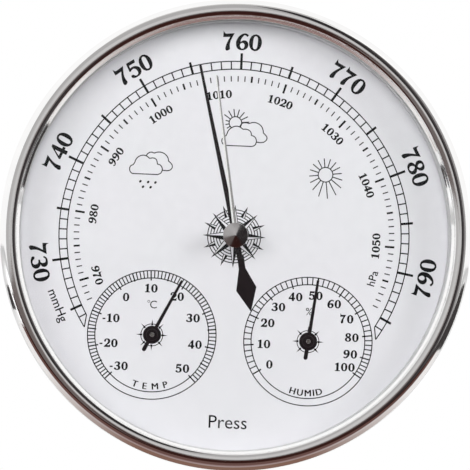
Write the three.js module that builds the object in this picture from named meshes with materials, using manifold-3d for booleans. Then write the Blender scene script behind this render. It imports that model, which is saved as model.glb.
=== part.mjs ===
// Round wall weather station: an aneroid barometer with a thermometer and a hygrometer on one dial.
// Millimetres. The origin is the centre of the back face, +Z is up and the dial faces -Y.
// Pieces are drawn in an instrument frame: x to the right, y up and z out from the wall.
import * as THREE from 'three';
import { mergeVertices } from 'three/addons/utils/BufferGeometryUtils.js';
import Module from 'manifold-3d';

const wasm = await Module();
wasm.setup();

// Clearances
const SEAT_GAP = 0.1; // between faces that rest on each other
const RIM_CLEARANCE = 0.2; // between rims that nest
const PIVOT_CLEARANCE = 0.08; // round a pivot that turns in its hole
const PRESS_CLEARANCE = 0.05; // round a shaft that a hub is pressed on
const SCREW_CLEARANCE = 0.15; // round a screw's shank
const SWING_GAP = 0.35; // between pieces that pass each other
const CUT_PAST = 1; // cutters past the faces that they open

// Facets
const RIM_SIDES = 44;
const CAPSULE_SIDES = 24;
const CAGE_SIDES = 20;
const SMALL_SIDES = 12;
const ROUND_STEPS = 3;
const BEAD_STEPS = 7;

// Bezel, rolled from sheet
const BEZEL_RADIUS = 64;
const BEZEL_SHEET = 0.8;
const BEAD_RADIUS = 1.8;
const BEAD_OVERHANG = 0.8; // bead outside the skirt
const BEAD_TUCK = 50; // degrees that the bead curls under at its outside
const FLANGE_WIDTH = 1.9;
const FLANGE_RISE = 1.1;

// Glass, its gasket and the ring that keeps it off the dial
const LENS_THICKNESS = 2;
const GASKET_THICKNESS = 0.6;
const SPACER_SHOW = 0.2; // spacer ring inside the bezel's opening

// Moulded case
const CASE_WALL = 2;
const CASE_STEP = 1.8; // mouth outside the drum
const BACK_THICKNESS = 2.2;
const BACK_ROUND = 4;
const BOSS_RADIUS = 3.4;
const BOSS_HEIGHT = 2.2;
const VENT_LENGTH = 12;
const VENT_WIDTH = 1.8;
const VENT_PITCH = 4;
const VENT_COUNT = 4;

// Hanger plate behind a window in the back
const HANGER_INSET = 10.9; // plate's centre inside the drum
const HANGER_WIDTH = 20;
const HANGER_HEIGHT = 15.6;
const HANGER_SHEET = 1;
const HANGER_WINDOW_WIDTH = 12;
const HANGER_WINDOW_HEIGHT = 12.4;
const HANGER_SCREW_REACH = 1.5; // into the back
const KEYHOLE_HEAD_RADIUS = 4.2;
const KEYHOLE_SLOT_RADIUS = 2.2;
const KEYHOLE_RISE = 4.6; // slot end above the round entry
const KEYHOLE_DROP = 0.8; // round entry below the plate's centre

// Dial and its two small dials
const DIAL_THICKNESS = 0.8;
const SUB_DIAL_INSET = 25; // small dial's centre inside the dial's edge
const SUB_DIAL_ANGLE = 37.45; // degrees either side of straight down

// Hands
const HAND_SHEET = 0.4;
const SUB_HAND_LIFT = 1.2;
const SUB_HAND_LENGTH = 16.9;
const SUB_HAND_TAIL = 5;
const SUB_HAND_WIDTH = 1;
const SUB_HAND_TIP_WIDTH = 0.6;
const SUB_HUB_RADIUS = 2.47;
const SUB_HUB_CROWN_RADIUS = 1.5;
const SUB_HUB_HEIGHT = 0.9;
const PRESSURE_HAND_INSET = 11.4; // tip inside the spacer ring
const PRESSURE_HAND_WIDTH = 1.4;
const PRESSURE_HAND_TIP_WIDTH = 0.6;
const PRESSURE_TAIL_LENGTH = 21.1;
const PRESSURE_TAIL_NECK = 9.2; // where the tail's neck starts to widen
const PRESSURE_TAIL_WIDEST = 14.8;
const PRESSURE_TAIL_WIDTH = 5.4;
const PRESSURE_HUB_RADIUS = 2.2;
const PRESSURE_HUB_HEIGHT = 1.8;
const SET_HAND_INSET = 15.3; // tip inside the spacer ring
const SET_HAND_WIDTH = 1.2;
const SET_HAND_TIP_WIDTH = 0.3;
const SET_HUB_RADIUS = 2.6;

// Set knob and its bush in the glass
const KNOB_RADIUS = 3.26;
const KNOB_EDGE = 0.7;
const KNOB_CONE = 2;
const KNOB_SHANK_RADIUS = 1.3;
const BUSH_WALL = 0.6;
const BUSH_FLANGE = 0.7; // flange outside the sleeve
const BUSH_FLANGE_THICKNESS = 0.5;
const WASHER_THICKNESS = 0.4;
const WASHER_WIDTH = 0.8;

// Readings in the photograph's state, in degrees clockwise from the top of each dial
const PRESSURE_REST = 756;
const PRESSURE_MIDDLE = 760;
const DEGREES_PER_UNIT = 10 / 3;
const PRESSURE_SWING = 123.3; // either side of the middle
const THERMOMETER_REST_ANGLE = 26.7;
const HYGROMETER_REST_ANGLE = 6.9;
const SET_REST_ANGLE = -9;

// Thermometer and hygrometer units
const CAGE_RADIUS = 9.5;
const CAGE_SHEET = 0.8;
const CAGE_DEPTH = 6.2;
const CAGE_FLANGE = 2;
const CAGE_WINDOW = 9;
const STAFF_RADIUS = 0.55;
const STAFF_SHOULDER_RADIUS = 1.1;
const STAFF_TIP = 0.15; // staff end in front of the hub
const COIL_STRIP = 0.35;
const COIL_HEIGHT = 4;
const COIL_OUTER_RADIUS = 8.1;
const COIL_GAP = 0.25; // coil's inner end round the staff
const COIL_STEPS = 12; // points in a turn
const THERMOMETER_TURNS = 5;
const HYGROMETER_TURNS = 4;

// Movement plates, pillars and screws
const PLATE_THICKNESS = 1.2;
const PLATE_MARGIN = 0.8; // plate outside its pillars
const MOVEMENT_DROP = 6; // movement's centre below the capsule's
const PILLAR_GAP = 0.3; // least room between a pillar and the capsule
const PILLAR_RADIUS = 2.2;
const PILLAR_ANGLES = [-90, 30, 150];
const SCREW_RADIUS = 1.25;
const SCREW_HEAD_RADIUS = 2.2;
const SCREW_HEAD_HEIGHT = 1.2;
const SCREW_REACH = 4; // into a pillar
const SLOT_WIDTH = 0.6;
const SLOT_DEPTH = 0.5;
const COUNTERSINK_RADIUS = 2.4;
const COUNTERSINK_DEPTH = 1.2;
const SMALL_SCREW_RADIUS = 0.8;
const SMALL_HEAD_RADIUS = 1.6;
const SMALL_HEAD_HEIGHT = 1;

// Capsule, its post and the regulator under it
const CAPSULE_RADIUS = 18.5;
const CAPSULE_HEIGHT = 5.4;
const CAPSULE_RIM = 1.2;
const CAPSULE_RIPPLE = 0.8;
const CAPSULE_RIPPLES = 3;
const CAPSULE_FOOT_RADIUS = 5;
const CAPSULE_FOOT_HEIGHT = 0.7;
const CAPSULE_BOSS_RADIUS = 3.5;
const CAPSULE_BOSS_HEIGHT = 0.5;
const POST_BASE_RADIUS = 1.4;
const POST_BASE_HEIGHT = 0.6;
const POST_TIP_RADIUS = 0.5;
const POST_LENGTH = 1.4;
const LEAF_THICKNESS = 0.7;
const LEAF_LIFT = 0.8;
const LEAF_WIDTH = 9;
const LEAF_HOLD = 3; // fixed end and adjusting screw outside the capsule
const LEAF_END = 2.6; // leaf past those points
const RIVET_RADIUS = 1.1;
const RIVET_COLLAR_RADIUS = 2.4;
const RIVET_HEAD_RADIUS = 2;
const RIVET_HEAD_HEIGHT = 0.6;
const ADJUSTER_RADIUS = 1.5;
const ADJUSTER_HEAD_RADIUS = 2.6;
const ADJUSTER_HEAD_HEIGHT = 1.6;
const ADJUSTER_INSET = 0.6; // head below the back face

// Gear train and rocking lever
const GEAR_MODULE = 0.4;
const PINION_TEETH = 12;
const SECTOR_RATIO = 8;
const SPARE_TEETH = 1.5; // sector teeth past each end of the swing
const TOOTH_BACKLASH = 0.1;
const TOOTH_ADDENDUM = 0.34;
const TOOTH_DEDENDUM = 0.48;
const PRESSURE_ANGLE = 20;
const PINION_LENGTH = 2;
const SECTOR_THICKNESS = 1;
const SECTOR_LIFT = 1;
const SECTOR_HUB_RADIUS = 4.2;
const SECTOR_HUB_OPENING = 120; // degrees of the hub that the spokes take
const SECTOR_RIM = 3;
const SECTOR_SPOKE_ANGLE = 13; // half angle of the window between the spokes
const SECTOR_TAIL = 2.4; // drive pin from the sector's pivot
const ARBOR_RADIUS = 0.95;
const ARBOR_PIVOT_RADIUS = 0.55;
const ARBOR_NECK_RADIUS = 0.75;
const ARBOR_END = 0.4; // pivot past its plate
const COLLET_RADIUS = 1.5;
const COLLET_HEIGHT = 0.9;
const HAIRSPRING_STRIP = 0.2;
const HAIRSPRING_HEIGHT = 0.5;
const HAIRSPRING_RADIUS = 4.8;
const HAIRSPRING_TURNS = 4;
const BRIDGE_THICKNESS = 1;
const BRIDGE_WIDTH = 8;
const BRIDGE_OVERHANG = 8; // bridge pillar past each pivot
const BRIDGE_PILLAR_RADIUS = 1.8;
const BRIDGE_SCREW_REACH = 1.8;
const SPIGOT_RADIUS = 1;
const LIFT_ARM = 3.6;
const LIFT_ARM_WIDTH = 1.6;
const LEVER_THICKNESS = 1.2;
const LEVER_COLLAR_RADIUS = 1.5;
const LEVER_COLLAR_WIDTH = 1.4;
const DRIVE_ARM_THICKNESS = 0.8;
const DRIVE_ARM_WIDTH = 1.6;
const DRIVE_PIN_RADIUS = 0.35;
const DRIVE_PIN_CLEARANCE = 0.15;
const DRIVE_PIN_TRAVEL = 0.3; // slot past the pin along the sector's tail
const ROCKER_RADIUS = 0.9;
const ROCKER_PIVOT_RADIUS = 0.6;
const ROCKER_HALF_LENGTH = 11;
const EAR_THICKNESS = 1.2;
const EAR_DROP = 1.8; // ear past the rocker shaft
const BRACKET_WIDTH = 7;
const BRACKET_SHEET = 1;
const BRACKET_SCREW_OFFSET = 7.5;
const LEVER_WINDOW = 0.5; // room round the drive arm at the end of its swing

// Radii, from the outside in
const skirtRadius = BEZEL_RADIUS - BEAD_OVERHANG;
const skirtBore = skirtRadius - BEZEL_SHEET;
const beadCentre = BEZEL_RADIUS - BEAD_RADIUS;
const sightRadius = BEZEL_RADIUS - 2 * BEAD_RADIUS - FLANGE_WIDTH;
const lensRadius = skirtBore - RIM_CLEARANCE;
const mouthRadius = skirtBore - RIM_CLEARANCE;
const mouthBore = mouthRadius - CASE_WALL;
const drumRadius = mouthRadius - CASE_STEP;
const drumBore = drumRadius - CASE_WALL;
const dialRadius = mouthBore - RIM_CLEARANCE;
const spacerBore = sightRadius - SPACER_SHOW;
const pillarCircle = CAPSULE_RADIUS + PILLAR_RADIUS + MOVEMENT_DROP + PILLAR_GAP;
const plateRadius = pillarCircle + PILLAR_RADIUS + PLATE_MARGIN;
const bushRadius = KNOB_SHANK_RADIUS + PIVOT_CLEARANCE + BUSH_WALL;
const bushFlangeRadius = bushRadius + BUSH_FLANGE;
const pinionRadius = GEAR_MODULE * PINION_TEETH / 2;
const sectorRadius = pinionRadius * SECTOR_RATIO;
const leafReach = CAPSULE_RADIUS + LEAF_HOLD;
const pressureHandLength = spacerBore - PRESSURE_HAND_INSET;
const setHandLength = spacerBore - SET_HAND_INSET;

// Places on the dial's plane
const sectorPivotY = pinionRadius + sectorRadius;
const capsuleY = sectorPivotY - LIFT_ARM;
const bridgePillarYs = [-BRIDGE_OVERHANG, sectorPivotY + BRIDGE_OVERHANG];
const movementY = capsuleY - MOVEMENT_DROP;
const hangerY = drumBore - HANGER_INSET;
const subDialDistance = dialRadius - SUB_DIAL_INSET;
const subDialX = subDialDistance * Math.sin(THREE.MathUtils.degToRad(SUB_DIAL_ANGLE));
const subDialY = -subDialDistance * Math.cos(THREE.MathUtils.degToRad(SUB_DIAL_ANGLE));
const pillarPlaces = PILLAR_ANGLES.map((degrees) => {
  const turn = THREE.MathUtils.degToRad(degrees);
  return [pillarCircle * Math.cos(turn), movementY + pillarCircle * Math.sin(turn)];
});
const hangerScrewX = (HANGER_WINDOW_WIDTH + HANGER_WIDTH) / 4;

// Motion of the lever train. The pressure hand leads, and the sector, lever and post follow it.
const toothPitch = 2 * Math.PI / (PINION_TEETH * SECTOR_RATIO);
const sectorSwing = THREE.MathUtils.degToRad(PRESSURE_SWING) / SECTOR_RATIO;
const sectorTeeth = 2 * Math.ceil(sectorSwing / toothPitch + SPARE_TEETH) + 1;
const pinSwing = SECTOR_TAIL * Math.sin(sectorSwing);
const rockerToPlate = LEVER_COLLAR_RADIUS + SWING_GAP + BRACKET_SHEET + SEAT_GAP + PLATE_THICKNESS;
const leverReach = rockerToPlate + SECTOR_LIFT + SECTOR_THICKNESS / 2;
const postStroke = LIFT_ARM * pinSwing / leverReach;
const pressureRest = THREE.MathUtils.degToRad((PRESSURE_REST - PRESSURE_MIDDLE) * DEGREES_PER_UNIT);
const sectorRest = -pressureRest / SECTOR_RATIO;
const rockerRest = -sectorRest * SECTOR_TAIL / leverReach;
const postRest = -rockerRest * LIFT_ARM;

// Levels, from the wall outwards
const baseZ = BACK_THICKNESS + BOSS_HEIGHT + SEAT_GAP;
const baseTop = baseZ + PLATE_THICKNESS;
const leafZ = baseTop + LEAF_LIFT;
const leafTop = leafZ + LEAF_THICKNESS;
const capsuleZ = leafTop + SEAT_GAP;
const capsuleBody = capsuleZ + CAPSULE_FOOT_HEIGHT;
const capsuleTop = capsuleBody + CAPSULE_HEIGHT + CAPSULE_BOSS_HEIGHT;
const postZ = capsuleTop + postStroke + SEAT_GAP;
const rockerZ = postZ + POST_LENGTH + SEAT_GAP + LEVER_THICKNESS / 2;
const bracketZ = rockerZ + LEVER_COLLAR_RADIUS + SWING_GAP;
const plateZ = bracketZ + BRACKET_SHEET + SEAT_GAP;
const plateTop = plateZ + PLATE_THICKNESS;
const sectorZ = plateTop + SECTOR_LIFT;
const sectorTop = sectorZ + SECTOR_THICKNESS;
const pinionZ = (sectorZ + sectorTop - PINION_LENGTH) / 2;
const colletZ = pinionZ + PINION_LENGTH + SEAT_GAP;
const bridgeZ = colletZ + COLLET_HEIGHT + SWING_GAP;
const bridgeTop = bridgeZ + BRIDGE_THICKNESS;
const dialZ = bridgeTop + SEAT_GAP + SMALL_HEAD_HEIGHT + SWING_GAP;
const dialTop = dialZ + DIAL_THICKNESS;
const ledgeZ = dialZ - SEAT_GAP;
const shoulderZ = ledgeZ - CASE_WALL;
const subHandZ = dialTop + SUB_HAND_LIFT;
const pressureHubZ = subHandZ + SUB_HUB_HEIGHT + SWING_GAP;
const pressureHandZ = pressureHubZ + (PRESSURE_HUB_HEIGHT - HAND_SHEET) / 2;
const setHandZ = pressureHubZ + PRESSURE_HUB_HEIGHT + SWING_GAP;
const washerZ = setHandZ + HAND_SHEET + SEAT_GAP;
const bushZ = washerZ + WASHER_THICKNESS + SEAT_GAP;
const lensZ = bushZ + BUSH_FLANGE_THICKNESS + SEAT_GAP;
const lensTop = lensZ + LENS_THICKNESS;
const bushTop = lensTop + SEAT_GAP + BUSH_FLANGE_THICKNESS;
const knobZ = bushTop + SEAT_GAP;
const gasketZ = lensZ - SEAT_GAP - GASKET_THICKNESS;
const mouthZ = gasketZ - SEAT_GAP;
const lipZ = lensTop + SEAT_GAP;
const beadZ = lipZ + BEZEL_SHEET + FLANGE_RISE;
const cageZ = dialZ - SEAT_GAP - CAGE_DEPTH;

// Materials
function finish(color, metalness, roughness) {
  return new THREE.MeshStandardMaterial({ color, metalness, roughness });
}
const polishedSteel = finish(0xc4bfbc, 1, 0.08);
const blackPlastic = finish(0x1c1c1e, 0, 0.55);
const clearGlass = finish(0xf2f6f7, 0, 0.03);
const greyRubber = finish(0x3a3a3c, 0, 0.8);
const palePlastic = finish(0xdad9dc, 0, 0.4);
const whiteEnamel = finish(0xe6e5ea, 0.1, 0.45);
const blackPaint = finish(0x141416, 0.2, 0.5);
const platedSteel = finish(0xb5b6b8, 1, 0.3);
const brass = finish(0xb59a5a, 1, 0.35);
const springBronze = finish(0xa77f4e, 1, 0.4);
const bimetal = finish(0x9a8f80, 1, 0.45);
const humidityFilm = finish(0x6d6a58, 0.1, 0.7);
const zincSteel = finish(0x9b9da0, 1, 0.5);

// A closed geometry as a solid that can be cut and joined.
function solid(geometry) {
  const bare = geometry.clone();
  bare.deleteAttribute('normal');
  bare.deleteAttribute('uv');
  const merged = mergeVertices(bare);
  const triangles = [];
  for (let i = 0; i < merged.index.count; i += 3) {
    const corners = [0, 1, 2].map((k) => merged.index.getX(i + k));
    if (new Set(corners).size === 3) triangles.push(...corners);
  }
  return new wasm.Manifold(new wasm.Mesh({
    numProp: 3,
    vertProperties: merged.attributes.position.array,
    triVerts: new Uint32Array(triangles),
  }));
}

const join = (first, ...others) => others.reduce((whole, other) => whole.add(other), first);
const cut = (first, ...tools) => tools.reduce((whole, tool) => whole.subtract(tool), first);

// A named mesh of one solid.
function piece(name, body, material) {
  const mesh = body.getMesh();
  const geometry = new THREE.BufferGeometry();
  geometry.setAttribute('position', new THREE.BufferAttribute(mesh.vertProperties, 3));
  geometry.setIndex(new THREE.BufferAttribute(mesh.triVerts, 1));
  geometry.computeVertexNormals();
  const made = new THREE.Mesh(geometry, material);
  made.name = name;
  return made;
}

// A solid of revolution about z. The profile holds [radius, z] pairs, up the outside and down the inside.
function turned(profile, sides = SMALL_SIDES) {
  const points = profile.map(([radius, z]) => new THREE.Vector2(radius, z));
  const touchesAxis = profile[0][0] === 0 && profile[profile.length - 1][0] === 0;
  if (!touchesAxis) points.push(points[0].clone());
  return solid(new THREE.LatheGeometry(points, sides).rotateX(Math.PI / 2));
}

const rod = (radius, from, to, sides) => turned([[0, from], [radius, from], [radius, to], [0, to]], sides);

function tube(outer, inner, from, to, sides) {
  return turned([[inner, from], [outer, from], [outer, to], [inner, to]], sides);
}

// Points on an arc of a profile or an outline, in degrees.
function arc(x, y, radius, from, to, steps) {
  return Array.from({ length: steps + 1 }, (_, i) => {
    const turn = THREE.MathUtils.degToRad(from + (to - from) * i / steps);
    return [x + radius * Math.cos(turn), y + radius * Math.sin(turn)];
  });
}

// A full circle's points, with a corner straight down as on a turned piece.
const circle = (x, y, radius, sides = SMALL_SIDES) => arc(x, y, radius, -90, 270, sides).slice(0, sides);

// A flat sheet from its outline and the outlines of its holes.
function sheet(outline, holes, from, thickness) {
  const vectors = (points) => points.map(([x, y]) => new THREE.Vector2(x, y));
  const shape = new THREE.Shape(vectors(outline));
  shape.holes = holes.map((points) => new THREE.Path(vectors(points)));
  const geometry = new THREE.ExtrudeGeometry(shape, { depth: thickness, bevelEnabled: false });
  return solid(geometry.translate(0, 0, from));
}

function rectangle(x, y, width, height) {
  const [left, right] = [x - width / 2, x + width / 2];
  const [low, high] = [y - height / 2, y + height / 2];
  return [[left, low], [right, low], [right, high], [left, high]];
}

// A hand's blade from the pivot up to its blunt tip.
function taper(width, tipWidth, length) {
  return [[width / 2, 0], [tipWidth / 2, length], [-tipWidth / 2, length], [-width / 2, 0]];
}

// A block between two corners.
function block(low, high) {
  const size = low.map((value, axis) => high[axis] - value);
  const centre = low.map((value, axis) => (value + high[axis]) / 2);
  return solid(new THREE.BoxGeometry(...size).translate(...centre));
}

// A flat spiral strip that winds out from the inner radius to the outer one.
function spiral(inner, outer, turns, steps, strip, from, height) {
  const along = Array.from({ length: turns * steps + 1 }, (_, i) => i / (turns * steps));
  const edge = (offset) => along.map((part) => {
    const turn = 2 * Math.PI * turns * part;
    const radius = inner + (outer - inner - strip) * part + offset;
    return [radius * Math.cos(turn), radius * Math.sin(turn)];
  });
  return sheet([...edge(strip), ...edge(0).reverse()], [], from, height);
}

// The slot across a screw's head, between two levels.
function driverSlot(head, from, to) {
  const wide = head + CUT_PAST;
  return block([-wide, -SLOT_WIDTH / 2, from], [wide, SLOT_WIDTH / 2, to]);
}

// A slotted screw along z with its head in front.
function panScrew(shank, head, headHeight, seat, reach) {
  const body = turned([
    [0, seat - reach], [shank, seat - reach], [shank, seat], [head, seat], [head, seat + headHeight],
    [0, seat + headHeight],
  ]);
  const top = seat + headHeight;
  return cut(body, driverSlot(head, top - SLOT_DEPTH, top + CUT_PAST));
}

// Half the angle that a tooth takes up at a radius, by the involute of its gear.
function toothHalfAngle(radius, pitchRadius) {
  const involute = (angle) => Math.tan(angle) - angle;
  const pressure = THREE.MathUtils.degToRad(PRESSURE_ANGLE);
  const base = pitchRadius * Math.cos(pressure);
  const atPitch = (Math.PI * GEAR_MODULE - TOOTH_BACKLASH * 2) / 4 / pitchRadius;
  const flank = Math.acos(Math.min(1, base / radius));
  return atPitch + involute(pressure) - involute(flank);
}

// The outline of one tooth as [radius, angle] pairs, from one root to the other.
function toothOutline(pitchRadius, centre) {
  const base = pitchRadius * Math.cos(THREE.MathUtils.degToRad(PRESSURE_ANGLE));
  const root = pitchRadius - TOOTH_DEDENDUM;
  const tip = pitchRadius + TOOTH_ADDENDUM;
  const radii = [root, Math.max(base, root + (pitchRadius - root) / 2), pitchRadius, tip];
  const rising = radii.map((radius) => [radius, centre - toothHalfAngle(radius, pitchRadius)]);
  const falling = radii.map((radius) => [radius, centre + toothHalfAngle(radius, pitchRadius)]).reverse();
  return [...rising, ...falling];
}

// Case, with its bosses, hanger window, adjuster hole and vents.
function makeCase() {
  const innerRound = Math.max(BACK_ROUND - CASE_WALL, CASE_WALL / 4);
  const outside = arc(drumRadius - BACK_ROUND, BACK_ROUND, BACK_ROUND, -90, 0, ROUND_STEPS);
  const inside = arc(drumBore - innerRound, BACK_THICKNESS + innerRound, innerRound, 0, -90, ROUND_STEPS);
  const shell = turned([
    [0, 0], ...outside, [drumRadius, shoulderZ], [mouthRadius, shoulderZ], [mouthRadius, mouthZ],
    [mouthBore, mouthZ], [mouthBore, ledgeZ], [drumBore, ledgeZ], ...inside, [0, BACK_THICKNESS],
  ], RIM_SIDES);
  const bosses = pillarPlaces.map(([x, y]) => (
    rod(BOSS_RADIUS, BACK_THICKNESS / 2, BACK_THICKNESS + BOSS_HEIGHT).translate(x, y, 0)
  ));
  const hole = SCREW_RADIUS + SCREW_CLEARANCE;
  const sink = COUNTERSINK_RADIUS + SCREW_CLEARANCE;
  const screwHoles = pillarPlaces.map(([x, y]) => turned([
    [0, -CUT_PAST], [sink, -CUT_PAST], [sink, SEAT_GAP], [hole, SEAT_GAP + COUNTERSINK_DEPTH], [hole, baseZ],
    [0, baseZ],
  ]).translate(x, y, 0));
  const window = block(
    [-HANGER_WINDOW_WIDTH / 2, hangerY - HANGER_WINDOW_HEIGHT / 2, -CUT_PAST],
    [HANGER_WINDOW_WIDTH / 2, hangerY + HANGER_WINDOW_HEIGHT / 2, BACK_THICKNESS + CUT_PAST],
  );
  const hangerHoles = [-1, 1].map((side) => rod(
    SMALL_SCREW_RADIUS + SCREW_CLEARANCE,
    BACK_THICKNESS - HANGER_SCREW_REACH - SEAT_GAP,
    BACK_THICKNESS + CUT_PAST,
  ).translate(side * hangerScrewX, hangerY, 0));
  const adjusterHole = rod(ADJUSTER_HEAD_RADIUS + SWING_GAP, -CUT_PAST, BACK_THICKNESS + CUT_PAST)
    .translate(leafReach, capsuleY, 0);
  const vents = [-1, 1].flatMap((side) => Array.from({ length: VENT_COUNT }, (_, i) => {
    const y = subDialY + (i - (VENT_COUNT - 1) / 2) * VENT_PITCH;
    const x = side * subDialX;
    return block(
      [x - VENT_LENGTH / 2, y - VENT_WIDTH / 2, -CUT_PAST],
      [x + VENT_LENGTH / 2, y + VENT_WIDTH / 2, BACK_THICKNESS + CUT_PAST],
    );
  }));
  const body = cut(join(shell, ...bosses), ...screwHoles, window, ...hangerHoles, adjusterHole, ...vents);
  return [piece('case_shell', body, blackPlastic)];
}

// Keyhole plate and its two screws, inside the back.
function makeHanger() {
  const from = BACK_THICKNESS + SEAT_GAP;
  const entryY = hangerY - KEYHOLE_DROP;
  const entryAngle = THREE.MathUtils.radToDeg(Math.asin(KEYHOLE_SLOT_RADIUS / KEYHOLE_HEAD_RADIUS));
  const keyhole = [
    ...arc(0, entryY, KEYHOLE_HEAD_RADIUS, 90 + entryAngle, 450 - entryAngle, SMALL_SIDES),
    ...arc(0, entryY + KEYHOLE_RISE, KEYHOLE_SLOT_RADIUS, 0, 180, SMALL_SIDES / 2),
  ];
  const screwHole = SMALL_SCREW_RADIUS + SCREW_CLEARANCE;
  const plate = sheet(
    rectangle(0, hangerY, HANGER_WIDTH, HANGER_HEIGHT),
    [keyhole, ...[-1, 1].map((side) => circle(side * hangerScrewX, hangerY, screwHole))],
    from, HANGER_SHEET,
  );
  const seat = from + HANGER_SHEET + SEAT_GAP;
  const reach = seat - BACK_THICKNESS + HANGER_SCREW_REACH;
  const screws = [-1, 1].map((side, i) => piece(
    `hanger_screw_${i + 1}`,
    panScrew(SMALL_SCREW_RADIUS, SMALL_HEAD_RADIUS, SMALL_HEAD_HEIGHT, seat, reach)
      .translate(side * hangerScrewX, hangerY, 0),
    zincSteel,
  ));
  return [piece('hanger_plate', plate, zincSteel), ...screws];
}

// Bezel, glass, gasket and spacer ring.
function makeFront() {
  const inner = BEAD_RADIUS - BEZEL_SHEET;
  const groove = beadCentre - inner;
  const bezel = turned([
    [skirtBore, shoulderZ], [skirtRadius, shoulderZ],
    ...arc(beadCentre, beadZ, BEAD_RADIUS, -BEAD_TUCK, 180, BEAD_STEPS),
    [sightRadius, lipZ + BEZEL_SHEET], [sightRadius, lipZ], [groove, beadZ - BEZEL_SHEET / 2],
    ...arc(beadCentre, beadZ, inner, 180 - BEAD_TUCK / 2, 0, ROUND_STEPS + 1),
    [skirtBore, beadZ - BEAD_RADIUS],
  ], RIM_SIDES);
  const lensHole = bushRadius + RIM_CLEARANCE;
  const gasket = tube(lensRadius, mouthBore, gasketZ, gasketZ + GASKET_THICKNESS, RIM_SIDES);
  const spacer = tube(dialRadius, spacerBore, dialTop + SEAT_GAP, lensZ - SEAT_GAP, RIM_SIDES);
  return [
    piece('bezel', bezel, polishedSteel),
    piece('lens', tube(lensRadius, lensHole, lensZ, lensTop, RIM_SIDES), clearGlass),
    piece('lens_gasket', gasket, greyRubber),
    piece('spacer_ring', spacer, palePlastic),
  ];
}

// Dial plate, with a hole for the pressure arbor and one for each staff.
function makeDial() {
  const dial = sheet(
    circle(0, 0, dialRadius, RIM_SIDES),
    [
      circle(0, 0, ARBOR_NECK_RADIUS + SWING_GAP),
      circle(-subDialX, subDialY, STAFF_RADIUS + PIVOT_CLEARANCE),
      circle(subDialX, subDialY, STAFF_RADIUS + PIVOT_CLEARANCE),
    ],
    dialZ, DIAL_THICKNESS,
  );
  return [piece('dial_plate', dial, whiteEnamel)];
}

// One small dial's unit: cage, coil, staff and hand.
function makeUnit(name, side, turns, restAngle, coilFinish) {
  const cageTop = dialZ - SEAT_GAP;
  const bore = CAGE_RADIUS - CAGE_SHEET;
  const floorTop = cageZ + CAGE_SHEET;
  const flangeZ = cageTop - CAGE_SHEET;
  const pivotHole = STAFF_RADIUS + PIVOT_CLEARANCE;
  const cup = turned([
    [pivotHole, cageZ], [CAGE_RADIUS, cageZ], [CAGE_RADIUS, flangeZ], [CAGE_RADIUS + CAGE_FLANGE, flangeZ],
    [CAGE_RADIUS + CAGE_FLANGE, cageTop], [bore, cageTop], [bore, floorTop], [pivotHole, floorTop],
  ], CAGE_SIDES);
  const [across, half] = [CAGE_RADIUS + CUT_PAST, CAGE_WINDOW / 2];
  const windows = [
    block([-across, -half, floorTop], [across, half, flangeZ]),
    block([-half, -across, floorTop], [half, across, flangeZ]),
  ];
  const coilInner = STAFF_SHOULDER_RADIUS + COIL_GAP;
  const coilZ = (floorTop + flangeZ - COIL_HEIGHT) / 2;
  const coil = spiral(coilInner, COIL_OUTER_RADIUS, turns, COIL_STEPS, COIL_STRIP, coilZ, COIL_HEIGHT);
  const hubTop = subHandZ + SUB_HUB_HEIGHT;
  const staff = turned([
    [0, cageZ - STAFF_TIP], [STAFF_RADIUS, cageZ - STAFF_TIP], [STAFF_RADIUS, floorTop + SEAT_GAP],
    [STAFF_SHOULDER_RADIUS, floorTop + SEAT_GAP], [STAFF_SHOULDER_RADIUS, dialZ - SWING_GAP],
    [STAFF_RADIUS, dialZ - SWING_GAP], [STAFF_RADIUS, hubTop + STAFF_TIP], [0, hubTop + STAFF_TIP],
  ]);
  const tail = arc(0, SUB_HAND_WIDTH / 2 - SUB_HAND_TAIL, SUB_HAND_WIDTH / 2, 180, 360, ROUND_STEPS);
  const needle = sheet(
    [...taper(SUB_HAND_WIDTH, SUB_HAND_TIP_WIDTH, SUB_HAND_LENGTH), ...tail], [], subHandZ, HAND_SHEET,
  );
  const hubBore = STAFF_RADIUS + PRESS_CLEARANCE;
  const hub = turned([
    [0, subHandZ], [SUB_HUB_RADIUS, subHandZ], [SUB_HUB_RADIUS, subHandZ + HAND_SHEET],
    [SUB_HUB_CROWN_RADIUS, hubTop], [0, hubTop],
  ]);
  const hand = cut(join(needle, hub), rod(hubBore, subHandZ - CUT_PAST, hubTop + CUT_PAST));
  const still = new THREE.Group();
  still.position.set(side * subDialX, subDialY, 0);
  still.add(piece(`${name}_cage`, cut(cup, ...windows), zincSteel), piece(`${name}_coil`, coil, coilFinish));
  const moving = new THREE.Group();
  moving.rotation.z = -THREE.MathUtils.degToRad(restAngle);
  moving.add(piece(`${name}_staff`, staff, platedSteel), piece(`${name}_hand`, hand, blackPaint));
  still.add(moving);
  return [still];
}

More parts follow.
